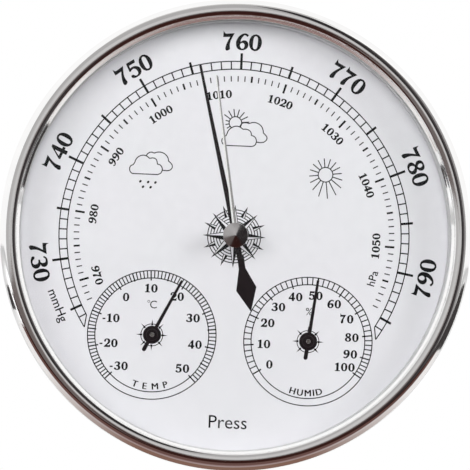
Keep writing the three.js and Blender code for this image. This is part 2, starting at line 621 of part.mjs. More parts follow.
// Knob, bush, washer and hand of the set pointer, which turns in the glass.
function makeSetPointer() {
  const shankEnd = setHandZ;
  const knob = turned([
    [0, shankEnd], [KNOB_SHANK_RADIUS, shankEnd], [KNOB_SHANK_RADIUS, knobZ], [KNOB_RADIUS, knobZ],
    [KNOB_RADIUS, knobZ + KNOB_EDGE], [0, knobZ + KNOB_EDGE + KNOB_CONE],
  ], CAGE_SIDES);
  const bushBore = KNOB_SHANK_RADIUS + PIVOT_CLEARANCE;
  const [rear, front] = [lensZ - SEAT_GAP, lensTop + SEAT_GAP];
  const bush = turned([
    [bushBore, bushZ], [bushFlangeRadius, bushZ], [bushFlangeRadius, rear], [bushRadius, rear],
    [bushRadius, front], [bushFlangeRadius, front], [bushFlangeRadius, bushTop], [bushBore, bushTop],
  ], CAGE_SIDES);
  const hubBore = KNOB_SHANK_RADIUS + PRESS_CLEARANCE;
  const washer = tube(hubBore + WASHER_WIDTH, hubBore, washerZ, washerZ + WASHER_THICKNESS, CAGE_SIDES);
  const needle = sheet(taper(SET_HAND_WIDTH, SET_HAND_TIP_WIDTH, setHandLength), [], setHandZ, HAND_SHEET);
  const hub = rod(SET_HUB_RADIUS, setHandZ, setHandZ + HAND_SHEET, CAGE_SIDES);
  const hand = cut(join(needle, hub), rod(hubBore, setHandZ - CUT_PAST, washerZ, CAGE_SIDES));
  const moving = new THREE.Group();
  moving.rotation.z = -THREE.MathUtils.degToRad(SET_REST_ANGLE);
  moving.add(
    piece('set_knob', knob, polishedSteel),
    piece('set_spring_washer', washer, springBronze),
    piece('set_hand', hand, platedSteel),
  );
  return [piece('lens_bush', bush, platedSteel), moving];
}

// An arbor between the front plate and the bridge, with a neck that runs on through the bridge.
function makeArbor(neckRadius, end) {
  const [start, low, high] = [plateZ - ARBOR_END, plateTop + SEAT_GAP, bridgeZ - SEAT_GAP];
  return turned([
    [0, start], [ARBOR_PIVOT_RADIUS, start], [ARBOR_PIVOT_RADIUS, low], [ARBOR_RADIUS, low],
    [ARBOR_RADIUS, high], [neckRadius, high], [neckRadius, end], [0, end],
  ]);
}

// Pressure hand with its arbor, pinion and hairspring collet.
function makePressureHand() {
  const hubTop = pressureHubZ + PRESSURE_HUB_HEIGHT;
  const arborTop = hubTop - PRESSURE_HUB_HEIGHT / 4;
  const [neck, wide] = [PRESSURE_HAND_WIDTH / 2, PRESSURE_TAIL_WIDTH / 2];
  const needle = sheet([
    ...taper(PRESSURE_HAND_WIDTH, PRESSURE_HAND_TIP_WIDTH, pressureHandLength),
    [-neck, -PRESSURE_TAIL_NECK], [-wide, -PRESSURE_TAIL_WIDEST], [0, -PRESSURE_TAIL_LENGTH],
    [wide, -PRESSURE_TAIL_WIDEST], [neck, -PRESSURE_TAIL_NECK],
  ], [], pressureHandZ, HAND_SHEET);
  const hub = rod(PRESSURE_HUB_RADIUS, pressureHubZ, hubTop, CAGE_SIDES);
  const socket = rod(ARBOR_NECK_RADIUS + PRESS_CLEARANCE, pressureHubZ - CUT_PAST, arborTop + SEAT_GAP);
  const teeth = Array.from({ length: PINION_TEETH }, (_, i) => (
    toothOutline(pinionRadius, 2 * Math.PI * (i + 0.5) / PINION_TEETH)
  ));
  const outline = teeth.flat().map(([radius, turn]) => [-radius * Math.sin(turn), radius * Math.cos(turn)]);
  const bore = circle(0, 0, ARBOR_RADIUS + PRESS_CLEARANCE);
  const collet = tube(COLLET_RADIUS, ARBOR_RADIUS + PRESS_CLEARANCE, colletZ, colletZ + COLLET_HEIGHT);
  const moving = new THREE.Group();
  moving.rotation.z = -pressureRest;
  moving.add(
    piece('pressure_hand', cut(join(needle, hub), socket), blackPaint),
    piece('centre_arbor', makeArbor(ARBOR_NECK_RADIUS, arborTop), platedSteel),
    piece('pinion', sheet(outline, [bore], pinionZ, PINION_LENGTH), brass),
    piece('hairspring_collet', collet, brass),
  );
  const springZ = colletZ + (COLLET_HEIGHT - HAIRSPRING_HEIGHT) / 2;
  const hairspring = spiral(
    COLLET_RADIUS + COIL_GAP, HAIRSPRING_RADIUS, HAIRSPRING_TURNS, COIL_STEPS, HAIRSPRING_STRIP, springZ,
    HAIRSPRING_HEIGHT,
  );
  return [moving, piece('hairspring', hairspring, springBronze)];
}

// Toothed sector on its arbor, with the slot that the rocking lever's pin drives.
function makeSector() {
  const spread = (sectorTeeth - 1) / 2;
  const teeth = Array.from({ length: sectorTeeth }, (_, i) => (
    toothOutline(sectorRadius, (i - spread) * toothPitch)
  ));
  const root = sectorRadius - TOOTH_DEDENDUM;
  const rimEnd = (spread + 1) * toothPitch;
  const below = ([radius, turn]) => [radius * Math.sin(turn), -radius * Math.cos(turn)];
  const rim = [[root, -rimEnd], ...teeth.flat(), [root, rimEnd]].map(below);
  const hubStart = SECTOR_HUB_OPENING / 2 - 90;
  const hub = arc(0, 0, SECTOR_HUB_RADIUS, hubStart, 180 - hubStart, SMALL_SIDES);
  const pinRoom = DRIVE_PIN_RADIUS + DRIVE_PIN_CLEARANCE;
  const slot = [
    ...arc(DRIVE_PIN_TRAVEL - SECTOR_TAIL, 0, pinRoom, -90, 90, ROUND_STEPS),
    ...arc(-DRIVE_PIN_TRAVEL - SECTOR_TAIL, 0, pinRoom, 90, 270, ROUND_STEPS),
  ];
  const [near, far] = [SECTOR_HUB_RADIUS + SECTOR_RIM / 2, root - SECTOR_RIM];
  const spoke = SECTOR_SPOKE_ANGLE;
  const window = [
    ...arc(0, 0, far, -90 - spoke, -90 + spoke, ROUND_STEPS),
    ...arc(0, 0, near, -90 + spoke, -90 - spoke, ROUND_STEPS),
  ];
  const bore = circle(0, 0, ARBOR_RADIUS + PRESS_CLEARANCE);
  const gear = sheet([...rim, ...hub], [bore, slot, window], sectorZ, SECTOR_THICKNESS);
  const arbor = makeArbor(ARBOR_PIVOT_RADIUS, bridgeTop + ARBOR_END);
  const moving = new THREE.Group();
  moving.position.y = sectorPivotY;
  moving.rotation.z = -sectorRest;
  moving.add(piece('sector_gear', gear, brass), piece('sector_arbor', arbor, platedSteel));
  return [moving];
}

// Rocking lever: a shaft across the capsule, an arm on the post and an arm that drives the sector.
function makeRocker() {
  const along = (body) => body.rotate([0, 90, 0]);
  const end = ROCKER_HALF_LENGTH + EAR_THICKNESS;
  const step = ROCKER_HALF_LENGTH - SEAT_GAP;
  const shaft = along(turned([
    [0, -end], [ROCKER_PIVOT_RADIUS, -end], [ROCKER_PIVOT_RADIUS, -step], [ROCKER_RADIUS, -step],
    [ROCKER_RADIUS, step], [ROCKER_PIVOT_RADIUS, step], [ROCKER_PIVOT_RADIUS, end], [0, end],
  ]));
  const bore = along(rod(ROCKER_RADIUS + PRESS_CLEARANCE, -end, end));
  const collar = along(rod(LEVER_COLLAR_RADIUS, -LEVER_COLLAR_WIDTH / 2, LEVER_COLLAR_WIDTH / 2));
  const liftTip = LIFT_ARM + LEVER_THICKNESS;
  const liftBar = block(
    [-LIFT_ARM_WIDTH / 2, -liftTip, -LEVER_THICKNESS / 2], [LIFT_ARM_WIDTH / 2, 0, LEVER_THICKNESS / 2],
  );
  const armTop = sectorZ - SWING_GAP - rockerZ;
  const pinTop = sectorTop + SWING_GAP - rockerZ;
  const [thick, wide] = [DRIVE_ARM_THICKNESS / 2, DRIVE_ARM_WIDTH / 2];
  const driveBar = block([-thick, -wide, 0], [thick, wide, armTop]);
  const drivePin = rod(DRIVE_PIN_RADIUS, armTop - DRIVE_PIN_RADIUS, pinTop);
  const drive = cut(join(collar, driveBar, drivePin), bore).translate(-SECTOR_TAIL, 0, 0);
  const moving = new THREE.Group();
  moving.position.set(0, sectorPivotY, rockerZ);
  moving.rotation.x = rockerRest;
  moving.add(
    piece('rocker_shaft', shaft, platedSteel),
    piece('lift_arm', cut(join(collar, liftBar), bore), platedSteel),
    piece('drive_arm', drive, platedSteel),
  );
  return [moving];
}

// Bracket under the front plate that carries the rocking lever, with its two screws.
function makeRockerBracket() {
  const end = ROCKER_HALF_LENGTH + EAR_THICKNESS;
  const [low, high] = [-BRACKET_WIDTH / 2, BRACKET_WIDTH / 2];
  const top = bracketZ + BRACKET_SHEET;
  const strip = block([-end, low, bracketZ], [end, high, top]);
  const ears = [-1, 1].map((side) => {
    const [near, far] = [side * ROCKER_HALF_LENGTH, side * end].sort((a, b) => a - b);
    return block([near, low / 2, rockerZ - EAR_DROP], [far, high / 2, top]);
  });
  const pivots = rod(ROCKER_PIVOT_RADIUS + PIVOT_CLEARANCE, -end - CUT_PAST, end + CUT_PAST)
    .rotate([0, 90, 0]).translate(0, 0, rockerZ);
  const screwHole = SMALL_SCREW_RADIUS + SCREW_CLEARANCE;
  const [below, above] = [bracketZ - CUT_PAST, top + CUT_PAST];
  const holes = [-1, 1].map((side) => (
    rod(screwHole, below, above).translate(side * BRACKET_SCREW_OFFSET, 0, 0)
  ));
  const arborRoom = rod(ARBOR_PIVOT_RADIUS + SWING_GAP, below, above);
  const body = cut(join(strip, ...ears), pivots, ...holes, arborRoom, driveWindow(below, above));
  const seat = plateTop + SEAT_GAP;
  const screws = [-1, 1].map((side, i) => piece(
    `bracket_screw_${i + 1}`,
    panScrew(SMALL_SCREW_RADIUS, SMALL_HEAD_RADIUS, SMALL_HEAD_HEIGHT, seat, seat - bracketZ)
      .translate(side * BRACKET_SCREW_OFFSET, sectorPivotY, 0),
    zincSteel,
  ));
  return [piece('rocker_bracket', body.translate(0, sectorPivotY, 0), zincSteel), ...screws];
}

// The space that the drive arm swings in, about the sector's pivot.
function driveWindow(from, to) {
  const halfX = DRIVE_ARM_THICKNESS / 2 + LEVER_WINDOW;
  const halfY = DRIVE_ARM_WIDTH / 2 + pinSwing + LEVER_WINDOW;
  return block([-SECTOR_TAIL - halfX, -halfY, from], [-SECTOR_TAIL + halfX, halfY, to]);
}

// Base plate, front plate and the pillars and screws that tie them to the case.
function makePlates() {
  const outline = circle(0, movementY, plateRadius, RIM_SIDES);
  const screwHole = SCREW_RADIUS + SCREW_CLEARANCE;
  const smallHole = SMALL_SCREW_RADIUS + SCREW_CLEARANCE;
  const screwHoles = pillarPlaces.map(([x, y]) => circle(x, y, screwHole));
  const base = sheet(outline, [
    ...screwHoles,
    circle(-leafReach, capsuleY, RIVET_RADIUS + SCREW_CLEARANCE),
    circle(leafReach, capsuleY, ADJUSTER_RADIUS + PIVOT_CLEARANCE),
  ], baseZ, PLATE_THICKNESS);
  const front = sheet(outline, [
    ...screwHoles,
    circle(0, 0, ARBOR_PIVOT_RADIUS + PIVOT_CLEARANCE),
    circle(0, sectorPivotY, ARBOR_PIVOT_RADIUS + PIVOT_CLEARANCE),
    ...bridgePillarYs.map((y) => circle(0, y, SPIGOT_RADIUS + SCREW_CLEARANCE)),
    ...[-1, 1].map((side) => circle(side * BRACKET_SCREW_OFFSET, sectorPivotY, smallHole)),
  ], plateZ, PLATE_THICKNESS);
  const armRoom = driveWindow(plateZ - CUT_PAST, plateTop + CUT_PAST).translate(0, sectorPivotY, 0);
  const pillarFrom = baseTop + SEAT_GAP;
  const pillarTo = plateZ - SEAT_GAP;
  const posts = pillarPlaces.flatMap(([x, y], i) => {
    const pillar = tube(PILLAR_RADIUS, screwHole, pillarFrom, pillarTo);
    const seat = plateTop + SEAT_GAP;
    const reach = seat - pillarTo + SCREW_REACH;
    const top = panScrew(SCREW_RADIUS, SCREW_HEAD_RADIUS, SCREW_HEAD_HEIGHT, seat, reach);
    return [
      piece(`movement_pillar_${i + 1}`, pillar.translate(x, y, 0), brass),
      piece(`plate_screw_${i + 1}`, top.translate(x, y, 0), zincSteel),
      piece(`case_screw_${i + 1}`, caseScrew(pillarFrom + SCREW_REACH).translate(x, y, 0), zincSteel),
    ];
  });
  return [piece('base_plate', base, zincSteel), piece('front_plate', cut(front, armRoom), brass), ...posts];
}

// A countersunk screw from the back of the case up to a level inside a pillar.
function caseScrew(end) {
  const head = 2 * SEAT_GAP;
  const body = turned([
    [0, head], [COUNTERSINK_RADIUS, head], [SCREW_RADIUS, head + COUNTERSINK_DEPTH], [SCREW_RADIUS, end],
    [0, end],
  ]);
  return cut(body, driverSlot(COUNTERSINK_RADIUS, head - CUT_PAST, head + SLOT_DEPTH));
}

// Bridge over the gear train, on two pillars with a screw in each.
function makeBridge() {
  const [lowY, highY] = bridgePillarYs;
  const half = BRIDGE_WIDTH / 2;
  const smallHole = SMALL_SCREW_RADIUS + SCREW_CLEARANCE;
  const bridge = sheet([
    ...arc(0, lowY, half, 180, 360, ROUND_STEPS * 2), ...arc(0, highY, half, 0, 180, ROUND_STEPS * 2),
  ], [
    circle(0, 0, ARBOR_NECK_RADIUS + PIVOT_CLEARANCE),
    circle(0, sectorPivotY, ARBOR_PIVOT_RADIUS + PIVOT_CLEARANCE),
    ...bridgePillarYs.map((y) => circle(0, y, smallHole)),
  ], bridgeZ, BRIDGE_THICKNESS);
  const foot = plateTop + SEAT_GAP;
  const top = bridgeZ - SEAT_GAP;
  const seat = bridgeTop + SEAT_GAP;
  const boreEnd = top - BRIDGE_SCREW_REACH - SEAT_GAP;
  const posts = bridgePillarYs.flatMap((y, i) => {
    const pillar = turned([
      [0, plateZ], [SPIGOT_RADIUS, plateZ], [SPIGOT_RADIUS, foot], [BRIDGE_PILLAR_RADIUS, foot],
      [BRIDGE_PILLAR_RADIUS, top], [smallHole, top], [smallHole, boreEnd], [0, boreEnd],
    ]);
    const screw = panScrew(
      SMALL_SCREW_RADIUS, SMALL_HEAD_RADIUS, SMALL_HEAD_HEIGHT, seat, seat - top + BRIDGE_SCREW_REACH,
    );
    return [
      piece(`bridge_pillar_${i + 1}`, pillar.translate(0, y, 0), brass),
      piece(`bridge_screw_${i + 1}`, screw.translate(0, y, 0), zincSteel),
    ];
  });
  return [piece('bridge_plate', bridge, brass), ...posts];
}

// Evacuated capsule with rippled faces, the post on it, and the leaf, rivet and screw that set its height.
function makeCapsule() {
  const rippleFrom = CAPSULE_FOOT_RADIUS;
  const rippleStep = (CAPSULE_RADIUS - CAPSULE_RIM - rippleFrom) / (2 * CAPSULE_RIPPLES);
  const ripples = Array.from({ length: 2 * CAPSULE_RIPPLES + 1 }, (_, i) => (
    [rippleFrom + i * rippleStep, i % 2 ? CAPSULE_RIPPLE : 0]
  ));
  const bodyTop = capsuleBody + CAPSULE_HEIGHT;
  const middle = capsuleBody + CAPSULE_HEIGHT / 2;
  const capsule = turned([
    [0, capsuleZ], [CAPSULE_FOOT_RADIUS, capsuleZ],
    ...ripples.map(([radius, depth]) => [radius, capsuleBody + depth]),
    [CAPSULE_RADIUS, middle - CAPSULE_RIM / 2], [CAPSULE_RADIUS, middle + CAPSULE_RIM / 2],
    ...ripples.map(([radius, depth]) => [radius, bodyTop - depth]).reverse(),
    [CAPSULE_BOSS_RADIUS, capsuleTop], [0, capsuleTop],
  ], CAPSULE_SIDES);
  const post = turned([
    [0, postZ], [POST_BASE_RADIUS, postZ], [POST_BASE_RADIUS, postZ + POST_BASE_HEIGHT],
    [POST_TIP_RADIUS, postZ + POST_LENGTH], [0, postZ + POST_LENGTH],
  ]).translate(0, capsuleY, postRest);
  const leafLength = 2 * (leafReach + LEAF_END);
  const leaf = sheet(
    rectangle(0, 0, leafLength, LEAF_WIDTH), [circle(-leafReach, 0, RIVET_RADIUS + SCREW_CLEARANCE)],
    leafZ, LEAF_THICKNESS,
  ).translate(0, capsuleY, 0);
  const [low, high] = [baseTop + SEAT_GAP, leafZ - SEAT_GAP];
  const headZ = leafTop + SEAT_GAP;
  const headTop = headZ + RIVET_HEAD_HEIGHT;
  const rivet = turned([
    [0, baseZ], [RIVET_RADIUS, baseZ], [RIVET_RADIUS, low], [RIVET_COLLAR_RADIUS, low],
    [RIVET_COLLAR_RADIUS, high], [RIVET_RADIUS, high], [RIVET_RADIUS, headZ], [RIVET_HEAD_RADIUS, headZ],
    [RIVET_HEAD_RADIUS, headTop], [0, headTop],
  ]).translate(-leafReach, capsuleY, 0);
  const neck = ADJUSTER_INSET + ADJUSTER_HEAD_HEIGHT;
  const adjuster = turned([
    [0, ADJUSTER_INSET], [ADJUSTER_HEAD_RADIUS, ADJUSTER_INSET], [ADJUSTER_HEAD_RADIUS, neck],
    [ADJUSTER_RADIUS, neck], [ADJUSTER_RADIUS, high], [0, high],
  ]);
  const slot = driverSlot(ADJUSTER_HEAD_RADIUS, ADJUSTER_INSET - CUT_PAST, ADJUSTER_INSET + SLOT_DEPTH);
  return [
    piece('capsule', capsule.translate(0, capsuleY, 0), springBronze),
    piece('capsule_post', post, brass),
    piece('regulator_leaf', leaf, zincSteel),
    piece('regulator_rivet', rivet, platedSteel),
    piece('adjusting_screw', cut(adjuster, slot).translate(leafReach, capsuleY, 0), brass),
  ];
}

const weatherStation = new THREE.Group();
weatherStation.rotation.x = Math.PI / 2;
weatherStation.add(
  ...makeCase(),
  ...makeHanger(),
  ...makePlates(),
  ...makeCapsule(),
  ...makeRocker(),
  ...makeRockerBracket(),
  ...makeSector(),
  ...makePressureHand(),
  ...makeBridge(),
  ...makeUnit('thermometer', -1, THERMOMETER_TURNS, THERMOMETER_REST_ANGLE, bimetal),
  ...makeUnit('hygrometer', 1, HYGROMETER_TURNS, HYGROMETER_REST_ANGLE, humidityFilm),
  ...makeDial(),
  ...makeSetPointer(),
  ...makeFront(),
);

const part = new THREE.Group();
part.add(weatherStation);

export default part;
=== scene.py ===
# Analog weather station: a round wall barometer, with a thermometer and a hygrometer on its dial.
# Sizes are in mm: x to the right, z up, and height out from the wall, which is -y in the frame.
from math import atan2, cos, pi, radians, sin, tau

import bmesh
import bpy
from mathutils import Matrix, Vector


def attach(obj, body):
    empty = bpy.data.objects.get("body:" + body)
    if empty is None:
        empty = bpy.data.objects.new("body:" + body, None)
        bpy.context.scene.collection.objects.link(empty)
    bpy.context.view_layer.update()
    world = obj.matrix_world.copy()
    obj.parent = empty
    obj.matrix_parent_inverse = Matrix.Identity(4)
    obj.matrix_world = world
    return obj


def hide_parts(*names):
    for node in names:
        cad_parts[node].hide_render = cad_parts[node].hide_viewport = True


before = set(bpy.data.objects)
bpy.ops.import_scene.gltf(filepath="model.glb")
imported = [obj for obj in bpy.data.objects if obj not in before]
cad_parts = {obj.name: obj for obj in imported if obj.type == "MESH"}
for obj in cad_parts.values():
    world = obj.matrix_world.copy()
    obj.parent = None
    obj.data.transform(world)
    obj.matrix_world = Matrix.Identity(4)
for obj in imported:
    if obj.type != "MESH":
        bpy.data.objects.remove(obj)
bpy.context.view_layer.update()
scene = bpy.context.scene
scene.view_settings.view_transform = "Standard"


# ---- case shell
# A drum moulded in black plastic, with rounded back edges and a wider mouth that the bezel grips.
# Its back wall has a window for the hanger, three countersunk screw holes, an adjuster hole and vents.
MM = 0.001
RIM_STEPS = 192
CASE_RADIUS, CASE_BORE = 60.4, 58.4
MOUTH_RADIUS, MOUTH_BORE = 62.2, 60.2
BACK_WALL, SHOULDER, LEDGE, MOUTH_END = 2.2, 24.856, 26.856, 33.156
BOSS_PLACES = ((0, -15), (-23.383, 25.5), (23.383, 25.5))
BOSS_RADIUS, SCREW_HOLE, COUNTERSINK = 3.4, 1.4, 3.7
HANGER_HEIGHT = 47.5
HANGER_SCREW_PLACES, HANGER_SCREW_HOLE = ((-8, HANGER_HEIGHT), (8, HANGER_HEIGHT)), 0.95
ADJUSTER_PLACE, ADJUSTER_HOLE = (21.5, 18), 2.95
SUB_DIAL_PLACES = {"thermometer": (-21.2824, -27.786), "hygrometer": (21.2824, -27.786)}
HANGER_WINDOW, VENT = (12, 12.4, 1.5), (12, 1.8, 0.85)  # width, height and rounding
VENT_PITCH = 4
THROUGH_WALL = (-1, 4)
NOISE_RANGE = (0.3, 0.7)


def wire(owner, *joins):
    """Links nodes of a material or world: each join is (node, output, node, input)."""
    for source, output, target, socket in joins:
        owner.node_tree.links.new(source.outputs[output], target.inputs[socket])


def finish(name, colours, grain, roughness, bump, metallic=0, specular=0.5, stretch=(1, 1, 1)):
    """A surface whose colour and gloss wander between two values, over a grain given in mm."""
    material = bpy.data.materials.new(name)
    material.use_nodes = True
    nodes = material.node_tree.nodes
    shader = nodes["Principled BSDF"]
    shader.inputs["Metallic"].default_value = metallic
    shader.inputs["Specular IOR Level"].default_value = specular
    place = nodes.new("ShaderNodeTexCoord")
    mapping = nodes.new("ShaderNodeMapping")
    mapping.inputs["Scale"].default_value = [share / (grain * MM) for share in stretch]
    noise = nodes.new("ShaderNodeTexNoise")
    noise.inputs["Scale"].default_value = 1
    noise.inputs["Detail"].default_value = 4
    tint = nodes.new("ShaderNodeValToRGB")
    for stop, position, colour in zip(tint.color_ramp.elements, NOISE_RANGE, colours):
        stop.position = position
        stop.color = (*colour, 1)
    gloss = nodes.new("ShaderNodeMapRange")
    for socket, value in zip(("From Min", "From Max", "To Min", "To Max"), NOISE_RANGE + roughness):
        gloss.inputs[socket].default_value = value
    dents = nodes.new("ShaderNodeBump")
    dents.inputs["Distance"].default_value = bump * MM
    wire(material, (place, "Object", mapping, "Vector"), (mapping, "Vector", noise, "Vector"),
         (noise, "Fac", tint, "Fac"), (noise, "Fac", gloss, "Value"), (noise, "Fac", dents, "Height"),
         (tint, "Color", shader, "Base Color"), (gloss, "Result", shader, "Roughness"),
         (dents, "Normal", shader, "Normal"))
    return material


def turned(profile, steps):
    """A shape turned about the dial's axis, from corners (radius, height, rounding)."""
    shape = bmesh.new()
    corners = [shape.verts.new((radius, -height, 0)) for radius, height, rounding in profile]
    shape.faces.new(corners)
    for corner, (radius, height, rounding) in zip(corners, profile):
        if rounding:
            bmesh.ops.bevel(shape, geom=[corner], offset=rounding, affect="VERTICES", segments=4,
                            profile=0.5, material=-1)
    bmesh.ops.delete(shape, geom=shape.faces[:], context="FACES_ONLY")
    on_axis = [edge for edge in shape.edges if max(vert.co.x for vert in edge.verts) < 1e-6]
    bmesh.ops.delete(shape, geom=on_axis, context="EDGES")
    bmesh.ops.spin(shape, geom=shape.verts[:] + shape.edges[:], axis=(0, 1, 0), cent=(0, 0, 0),
                   angle=tau, steps=steps, use_merge=True)
    bmesh.ops.remove_doubles(shape, verts=shape.verts[:], dist=0.0005)
    bmesh.ops.recalc_face_normals(shape, faces=shape.faces[:])
    return shape


def add_rod(shape, place, low, high, radius, segments=32, end_radius=None):
    """Adds a round rod or cone that stands out from the wall."""
    matrix = Matrix.Translation((place[0], -(low + high) / 2, place[1])) @ Matrix.Rotation(pi / 2, 4, "X")
    bmesh.ops.create_cone(shape, cap_ends=True, segments=segments, radius1=radius,
                          radius2=end_radius or radius, depth=high - low, matrix=matrix)


def add_block(shape, place, low, high, width, tall, rounding):
    """Adds a block that stands out from the wall, with its four long edges rounded."""
    block = bmesh.ops.create_cube(shape, size=1)["verts"]
    bmesh.ops.scale(shape, vec=(width, high - low, tall), verts=block)
    bmesh.ops.translate(shape, vec=(place[0], -(low + high) / 2, place[1]), verts=block)
    edges = {edge for vert in block for edge in vert.link_edges
             if abs(edge.verts[0].co.y - edge.verts[1].co.y) > 0.01}
    bmesh.ops.bevel(shape, geom=list(edges), offset=rounding, affect="EDGES", segments=6,
                    profile=0.5, material=-1)


def to_object(shape, name):
    """Puts a shape into the scene."""
    mesh = bpy.data.meshes.new(name)
    shape.to_mesh(mesh)
    shape.free()
    piece = bpy.data.objects.new(name, mesh)
    scene.collection.objects.link(piece)
    return piece


def carved(shape, tool, operation):
    """The shape with a tool cut out of it (DIFFERENCE) or joined to it (UNION)."""
    solids = [to_object(solid, "carving") for solid in (shape, tool)]
    cut = solids[0].modifiers.new("cut", "BOOLEAN")
    cut.operation = operation
    cut.object = solids[1]
    result = bmesh.new()
    result.from_object(solids[0], bpy.context.evaluated_depsgraph_get())
    for solid in solids:
        bpy.data.meshes.remove(solid.data)
    return result


def make_piece(shape, name, material, body, sharp=35, shadow=True):
    """Turns a shape drawn in mm into a piece on a CAD body, with creases where its edges are sharp."""
    bmesh.ops.scale(shape, vec=(MM, MM, MM), verts=shape.verts[:])
    piece = to_object(shape, name)
    piece.data.shade_smooth()
    piece.data.set_sharp_from_angle(angle=radians(sharp))
    piece.data.materials.append(material)
    piece.visible_shadow = piece.visible_diffuse = shadow
    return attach(piece, body)


case = turned([(0, 0, 0), (CASE_RADIUS, 0, 4), (CASE_RADIUS, SHOULDER, 0.3), (MOUTH_RADIUS, SHOULDER, 0.4),
               (MOUTH_RADIUS, MOUTH_END, 0.3), (MOUTH_BORE, MOUTH_END, 0.3), (MOUTH_BORE, LEDGE, 0),
               (CASE_BORE, LEDGE, 0.2), (CASE_BORE, BACK_WALL, 2), (0, BACK_WALL, 0)], RIM_STEPS)
bosses = bmesh.new()
for place in BOSS_PLACES:
    add_rod(bosses, place, 1.2, 4.4, BOSS_RADIUS)
case = carved(case, bosses, "UNION")
holes = bmesh.new()
for place in BOSS_PLACES:
    add_rod(holes, place, -1.1, 1.3, COUNTERSINK, end_radius=SCREW_HOLE)
    add_rod(holes, place, 1.25, 6, SCREW_HOLE)
case = carved(case, holes, "DIFFERENCE")
holes = bmesh.new()
add_block(holes, (0, HANGER_HEIGHT), *THROUGH_WALL, *HANGER_WINDOW)
add_rod(holes, ADJUSTER_PLACE, *THROUGH_WALL, ADJUSTER_HOLE, 48)
for place in HANGER_SCREW_PLACES:
    add_rod(holes, place, 0.6, 4, HANGER_SCREW_HOLE, 24)
for x, z in SUB_DIAL_PLACES.values():
    for row in (-1.5, -0.5, 0.5, 1.5):
        add_block(holes, (x, z + VENT_PITCH * row), *THROUGH_WALL, *VENT)
case = carved(case, holes, "DIFFERENCE")
black_plastic = finish("black_moulded_plastic", ((0.010, 0.010, 0.011), (0.016, 0.016, 0.018)), 0.5,
                       (0.42, 0.58), 0.02)
case_drum = make_piece(case, "case_drum", black_plastic, "case")
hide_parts("case_shell")


# ---- case screws
# Three countersunk slotted screws, in zinc-plated steel, hold the movement through the back wall.
# They are turned, with the slot milled across the head.
SCREW_STEPS = 48
SLOT_LENGTH, SLOT_WIDTH, SLOT_DEPTH = 6, 0.6, 0.5
CASE_SCREW = [(0, 0.2, 0), (2.4, 0.2, 0.06), (2.4, 0.32, 0), (1.25, 1.4, 0), (1.25, 9.8, 0.2), (0, 9.8, 0)]
zinc_steel = finish("zinc_plated_steel", ((0.36, 0.37, 0.38), (0.52, 0.53, 0.54)), 0.8, (0.30, 0.45),
                    0.004, metallic=1)


def slotted(profile, place):
    """A turned screw with a slot across its head, which faces the back, at its place on the case."""
    screw = turned(profile, SCREW_STEPS)
    head = profile[0][1]
    slot = bmesh.new()
    add_block(slot, (0, 0), head - 2, head + SLOT_DEPTH, SLOT_LENGTH, SLOT_WIDTH, 0.05)
    screw = carved(screw, slot, "DIFFERENCE")
    bmesh.ops.translate(screw, vec=(place[0], 0, place[1]), verts=screw.verts[:])
    return screw


for number, place in enumerate(BOSS_PLACES, 1):
    case_screw = make_piece(slotted(CASE_SCREW, place), f"back_screw_{number}", zinc_steel, "case")
    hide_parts(f"case_screw_{number}")


# ---- hanger
# A pressed steel plate with a keyhole, screwed to the inside of the back wall behind its window.
# A nail's head goes in at the round opening and the narrow slot hangs on its shank.
HANGER_BACK, HANGER_FRONT = 2.3, 3.3
HANGER_PLATE, KEY_SLOT = (20, 15.6, 0.8), (4.4, 6.8, 2.19)  # width, height and rounding
KEY_ENTRY_HEIGHT, KEY_SLOT_HEIGHT = 46.7, 50.1
KEY_ENTRY = 4.2
THROUGH_PLATE = (2, 4)
hanger = bmesh.new()
add_block(hanger, (0, HANGER_HEIGHT), HANGER_BACK, HANGER_FRONT, *HANGER_PLATE)
holes = bmesh.new()
add_rod(holes, (0, KEY_ENTRY_HEIGHT), *THROUGH_PLATE, KEY_ENTRY, 64)
for place in HANGER_SCREW_PLACES:
    add_rod(holes, place, *THROUGH_PLATE, HANGER_SCREW_HOLE, 24)
hanger = carved(hanger, holes, "DIFFERENCE")
slot = bmesh.new()
add_block(slot, (0, KEY_SLOT_HEIGHT), *THROUGH_PLATE, *KEY_SLOT)
hanger = carved(hanger, slot, "DIFFERENCE")
keyhole_plate = make_piece(hanger, "keyhole_plate", zinc_steel, "case")
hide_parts("hanger_plate")


def dress(material, *nodes):
    """Gives CAD nodes that keep their shape a finish of their own."""
    for node in nodes:
        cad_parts[node].material_slots[0].material = material


dress(zinc_steel, "hanger_screw_1", "hanger_screw_2")


# ---- movement
# Base plate, capsule, lever, toothed sector, pinion and hairspring, between plates on turned pillars.
# Plates are stamped in brass or zinc-plated steel, arbors are nickel-plated, springs are rolled bronze.
brass = finish("stamped_brass", ((0.42, 0.28, 0.08), (0.56, 0.40, 0.13)), 0.6, (0.24, 0.38), 0.003,
               metallic=1, stretch=(0.15, 1, 1))
nickel_steel = finish("nickel_plated_steel", ((0.42, 0.41, 0.39), (0.52, 0.51, 0.49)), 0.5, (0.18, 0.30),
                      0.002, metallic=1)
spring_bronze = finish("rolled_bronze", ((0.34, 0.19, 0.06), (0.44, 0.26, 0.10)), 0.9, (0.28, 0.42), 0.003,
                       metallic=1, stretch=(1, 1, 0.2))
dress(zinc_steel, "base_plate", "plate_screw_1", "plate_screw_2", "plate_screw_3", "regulator_leaf",
      "rocker_bracket", "bracket_screw_1", "bracket_screw_2", "bridge_screw_1", "bridge_screw_2")
dress(brass, "front_plate", "movement_pillar_1", "movement_pillar_2", "movement_pillar_3", "capsule_post",
      "sector_gear", "pinion", "hairspring_collet", "bridge_plate", "bridge_pillar_1", "bridge_pillar_2")
dress(nickel_steel, "regulator_rivet", "rocker_shaft", "lift_arm", "drive_arm", "sector_arbor",
      "centre_arbor")
dress(spring_bronze, "capsule", "hairspring")


